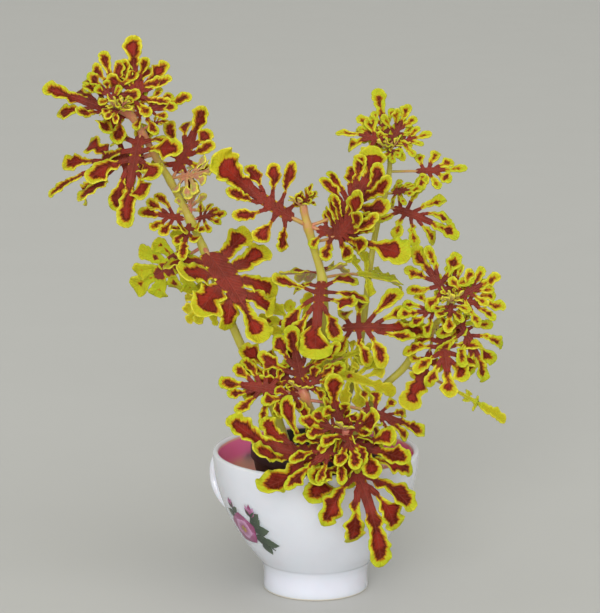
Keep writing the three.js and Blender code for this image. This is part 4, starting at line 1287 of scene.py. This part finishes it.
def build_sprig(cup):
    """Wild rose with two buds and its leaves, printed on the bowl."""
    work, mark = Patchwork(), Print(cup)
    green, pink, gold = 0, 1, 2
    for points in SPRIG_STALKS:
        mark.add_stalk(work, points, 0.45, green, STALK_LIFT)
    for across, up, aim, length in SPRIG_LEAVES:
        size = (length, 0.6 * length)
        mark.add_petal(work, (across, up), aim, size, green, LEAF_LIFT, (0.9, 0.2), 0.8, teeth=0.14)
    for across, up, aim, length in SPRIG_BUDS:
        for tilt, reach, shade in ((24, 0.9, (0.9, 0.15)), (-24, 0.9, (0.9, 0.15)), (0, 1, (0.5, 0.9))):
            size = (length * reach, 0.5 * length)
            mark.add_petal(work, (across, up), aim + tilt, size, pink, BUD_LIFT, shade)
        for tilt in (38, -38):
            size = (0.7 * length, 0.2 * length)
            mark.add_petal(work, (across, up), aim + tilt, size, green, PETAL_LIFT, (0.8, 0.4))
    for ring, (length, first, shade) in enumerate(ROSE_RINGS):
        for i in range(ROSE_PETALS):
            aim, size = first + 360 / ROSE_PETALS * i, (length, 1.05 * length)
            lift = PETAL_LIFT + 0.05 * ring + 0.008 * i
            mark.add_petal(work, SPRIG_ROSE, aim, size, pink, lift, shade, 1.5)
    for i in range(STAMENS):
        size = (0.9 + 0.5 * (i % 3), 0.45)
        mark.add_petal(work, SPRIG_ROSE, i * STAMEN_TURN, size, gold, STAMEN_LIFT, (0.6, 0), 1.2)
    finishes = [
        overglaze("leaf_print", cup.sprig_leaf, cup.sprig_leaf_dark),
        overglaze("petal_print", cup.petal, cup.petal_deep),
        overglaze("stamen_print", cup.stamen, cup.sprig_leaf),
    ]
    thicken(make_piece("printed_sprig", work, finishes, None), PRINT_THICKNESS * MM)


# ---------------------------------------------------------------- pot and soil


def build_pot(pot):
    """Nursery pot with its rim band, round edges and a wall of one thickness."""
    floor, top, wall = in_mm(pot, "floor"), in_mm(pot, "top"), in_mm(pot, "wall")
    base, wide = in_mm(pot, "base_radius"), in_mm(pot, "top_radius")
    lip, shoulder = wide + in_mm(pot, "band"), top - in_mm(pot, "band_height")
    profile = [(0, floor + 0.6), (base - 4, floor + 0.6), (base - 3.4, floor), (base - 0.5, floor)]
    profile += [(base + 0.1, floor + 0.2), (base + 0.5, floor + 0.8)]
    for t in np.linspace(0, 1, 9)[1:]:
        profile.append((lerp(base + 0.5, wide, t), lerp(floor + 0.8, shoulder, t)))
    profile += [(wide + 0.3, shoulder + 0.05), (lip - 0.25, shoulder + 0.2), (lip, shoulder + 0.5)]
    profile += [(lip, top - 0.6), (lip - 0.12, top - 0.22), (lip - 0.4, top), (wide - wall + 0.8, top)]
    profile += [(wide - wall + 0.65, top - 0.1), (wide - wall + 0.6, top - 0.3), (wide - wall, shoulder)]
    profile += [(base - wall + 0.4, floor + wall), (0, floor + wall)]
    work = Patchwork()
    turn(work, profile, POT_CORNERS)
    make_piece("nursery_pot_body", work, [moulded_plastic(pot)], "nursery_pot")


def soil_height(x, y, pot, wide):
    """Height of the uneven soil."""
    out = np.hypot(x, y)
    inside = 1 - smooth(wide * 0.8, wide, out)
    lump = np.sin(x * 0.7 + 1) * np.cos(y * 0.6) + 0.5 * np.sin(x * 1.7 - y * 1.3)
    fine = np.sin(x * 3.1 + 2 * np.sin(y * 2.3)) * np.sin(y * 2.9 + 1.7 * np.sin(x * 1.9))
    mound = in_mm(pot, "soil_mound") * (1 - (out / wide) ** 2)
    return in_mm(pot, "soil_top") + mound + inside * (0.7 * lump + 0.28 * fine)


def build_soil(pot):
    """Potting soil with crumbs, and white grains of perlite."""
    random = np.random.default_rng(SOIL_SEED)
    floor, top, wall = in_mm(pot, "floor"), in_mm(pot, "soil_top"), in_mm(pot, "wall")
    shoulder = in_mm(pot, "top") - in_mm(pot, "band_height")
    base = in_mm(pot, "base_radius") - wall - SOIL_GAP
    bottom = floor + wall + SOIL_GAP
    wide = lerp(in_mm(pot, "base_radius"), in_mm(pot, "top_radius"), (top - floor) / (shoulder - floor))
    wide -= wall + SOIL_GAP + 0.2
    work = Patchwork()
    angles = round_corners(SOIL_CORNERS)
    rings = wide * np.linspace(1, 0, SOIL_RINGS + 1)[:-1, None]
    x, y = rings * np.cos(angles), rings * np.sin(angles)
    surface = work.add_points(np.stack([x, y, soil_height(x, y, pot, wide)], -1))
    low_ring = np.stack([base * np.cos(angles), base * np.sin(angles), bottom + 0 * angles], -1)
    rings = np.concatenate([work.add_points(low_ring[None]), surface])
    work.add_grid(rings, around=True)
    low, high = work.add_points([(0, 0, bottom), (0, 0, float(soil_height(0.0, 0.0, pot, wide)))])
    work.add_fan(low, rings[0][::-1])
    work.add_fan(high, rings[-1])
    grains = Patchwork()
    for i in range(CRUMBS + PERLITE_GRAINS):
        out = (wide - 1.6) * math.sqrt(random.random())
        heading = 2 * math.pi * random.random()
        x, y = out * math.cos(heading), out * math.sin(heading)
        white = i >= CRUMBS
        grain = random.uniform(*(PERLITE_SIZE if white else CRUMB_SIZE)) / 2
        centre = (x, y, float(soil_height(x, y, pot, wide)) + 0.25 * grain)
        add_crumb(grains if white else work, centre, grain, random)
    make_piece("soil_surface", work, [potting_soil(pot)], "soil")
    make_piece("perlite_grains", grains, [perlite(pot)], None)


def add_crumb(work, centre, radius, random):
    """Small uneven lump on an icosahedron."""
    golden = (1 + 5**0.5) / 2
    corners = [(a, b * golden, 0) for a in (-1, 1) for b in (-1, 1)]
    corners = np.array([p[k:] + p[:k] for k in range(3) for p in corners]) / math.hypot(1, golden)
    near = np.linalg.norm(corners[:, None] - corners[None], axis=-1)
    bond = (near > 0.1) & (near < 1.1)
    stretch = random.uniform(0.6, 1.2, 3)
    points = corners * stretch * random.uniform(0.75, 1.2, (len(corners), 1)) * radius
    numbers = work.add_points(points + centre)
    for a in range(12):
        for b in range(a + 1, 12):
            for c in range(b + 1, 12):
                if bond[a, b] and bond[b, c] and bond[a, c]:
                    facing = np.dot(np.cross(corners[b] - corners[a], corners[c] - corners[a]), corners[a])
                    face = (a, b, c) if facing > 0 else (a, c, b)
                    work.add_faces([tuple(int(numbers[k]) for k in face)])


# ---------------------------------------------------------------- studio


def build_floor(studio):
    """Round floor that runs far past the view on every side."""
    work = Patchwork()
    angles = round_corners(FLOOR_CORNERS)
    ring = np.stack([FLOOR_RADIUS * np.cos(angles), FLOOR_RADIUS * np.sin(angles), 0 * angles], -1)
    work.add_fan(work.add_points([(0, 0, 0)])[0], work.add_points(ring))
    new_object("floor", work, [matt_paper(studio)])


def aim_along(name, data, look, location=(0, 0, 0)):
    """Puts a lamp or camera into the scene, turned to look in one direction."""
    item = bpy.data.objects.new(name, data)
    item.location = location
    item.rotation_euler = look.to_track_quat("-Z", "Y").to_euler()
    bpy.context.scene.collection.objects.link(item)
    return item


def build_studio(studio):
    """Floor, soft lights, even surroundings and the camera."""
    build_floor(studio)
    scene, middle = bpy.context.scene, Vector(AIM) * MM
    window = bpy.data.lights.new("daylight", "SUN")
    window.energy, window.angle = studio.daylight, math.radians(DAYLIGHT_ANGLE)
    aim_along("daylight", window, -Vector(DAYLIGHT_FROM))
    panel = bpy.data.lights.new("softbox", "AREA")
    panel.size, panel.energy = SOFTBOX_WIDTH * MM, studio.softbox
    panel.spread = math.radians(SOFTBOX_SPREAD)
    location = Vector(SOFTBOX_PLACE) * MM
    aim_along("softbox", panel, middle - location, location)
    world = bpy.data.worlds.new("surroundings")
    world.use_nodes = True
    sky = world.node_tree.nodes["Background"]
    sky.inputs["Color"].default_value = (*studio.backdrop, 1)
    sky.inputs["Strength"].default_value = studio.ambient
    scene.world = world
    scene.view_settings.view_transform = "Standard"
    lens = bpy.data.cameras.new("camera")
    lens.sensor_fit = "HORIZONTAL"
    lens.lens = lens.sensor_width * PIXELS_PER_MM * in_mm(studio, "distance") / IMAGE_WIDTH
    lens.clip_end = 2 * FLOOR_RADIUS * MM
    look = Vector((0, math.cos(studio.elevation), -math.sin(studio.elevation)))
    scene.camera = aim_along("camera", lens, look, middle - look * studio.distance)


# ---------------------------------------------------------------- operators, panel and registration


class BuildStep(bpy.types.Operator):
    """Common part of the steps."""

    bl_options = {"REGISTER", "UNDO"}


class COLEUS_OT_studio(BuildStep):
    """Build the floor, the lights and the camera"""

    bl_idname = "coleus.studio"
    bl_label = "Studio"

    def execute(self, context):
        build_studio(context.scene.coleus_studio)
        return {"FINISHED"}


class COLEUS_OT_cup(BuildStep):
    """Build the porcelain cup with its handle"""

    bl_idname = "coleus.cup"
    bl_label = "Cup"

    def execute(self, context):
        build_cup(context.scene.coleus_cup)
        return {"FINISHED"}


class COLEUS_OT_sprig(BuildStep):
    """Print the wild rose sprig on the cup"""

    bl_idname = "coleus.sprig"
    bl_label = "Printed Sprig"

    def execute(self, context):
        build_sprig(context.scene.coleus_cup)
        return {"FINISHED"}


class COLEUS_OT_pot(BuildStep):
    """Build the nursery pot"""

    bl_idname = "coleus.pot"
    bl_label = "Nursery Pot"

    def execute(self, context):
        build_pot(context.scene.coleus_pot)
        return {"FINISHED"}


class COLEUS_OT_soil(BuildStep):
    """Fill the pot with soil"""

    bl_idname = "coleus.soil"
    bl_label = "Soil"

    def execute(self, context):
        build_soil(context.scene.coleus_pot)
        return {"FINISHED"}


class COLEUS_OT_shoots(BuildStep):
    """Grow every leafy stem"""

    bl_idname = "coleus.shoots"
    bl_label = "Leafy Stems"

    def execute(self, context):
        leaves = context.scene.coleus_leaves
        finishes = [stem_skin(leaves), velvet_blade(leaves), blade_underside(leaves)]
        for number, (node, shoot) in enumerate(SHOOTS.items()):
            build_shoot(node, shoot, number, leaves, finishes)
        return {"FINISHED"}


class COLEUS_PT_steps(bpy.types.Panel):
    """Lists the steps with their sizes and colours."""

    bl_label = "Coleus in a Cup"
    bl_idname = "COLEUS_PT_steps"
    bl_space_type = "VIEW_3D"
    bl_region_type = "UI"
    bl_category = "Coleus"

    def draw(self, context):
        layout = self.layout
        for step_class in STEPS:
            layout.operator(step_class.bl_idname)
        for name, settings_class in SETTINGS.items():
            box = layout.box()
            box.label(text=settings_class.__doc__)
            for key in settings_class.__annotations__:
                box.prop(getattr(context.scene, name), key)


STEPS = (
    COLEUS_OT_studio, COLEUS_OT_cup, COLEUS_OT_sprig, COLEUS_OT_pot, COLEUS_OT_soil, COLEUS_OT_shoots,
)
SETTINGS = {
    "coleus_cup": CupSettings, "coleus_pot": PotSettings, "coleus_leaves": LeafSettings,
    "coleus_studio": StudioSettings,
}
CLASSES = (*SETTINGS.values(), *STEPS, COLEUS_PT_steps)


def register():
    """Registers every class, and hangs the settings on the scene."""
    for new_class in CLASSES:
        bpy.utils.register_class(new_class)
    for name, settings_class in SETTINGS.items():
        setattr(bpy.types.Scene, name, PointerProperty(type=settings_class))


def unregister():
    """Takes the settings and the classes away again."""
    for name in SETTINGS:
        delattr(bpy.types.Scene, name)
    for old_class in reversed(CLASSES):
        bpy.utils.unregister_class(old_class)


def main():
    """Builds the scene step by step."""
    register()
    bpy.ops.coleus.studio()
    bpy.ops.coleus.cup()
    bpy.ops.coleus.sprig()
    bpy.ops.coleus.pot()
    bpy.ops.coleus.soil()
    bpy.ops.coleus.shoots()


if __name__ == "__main__":
    main()
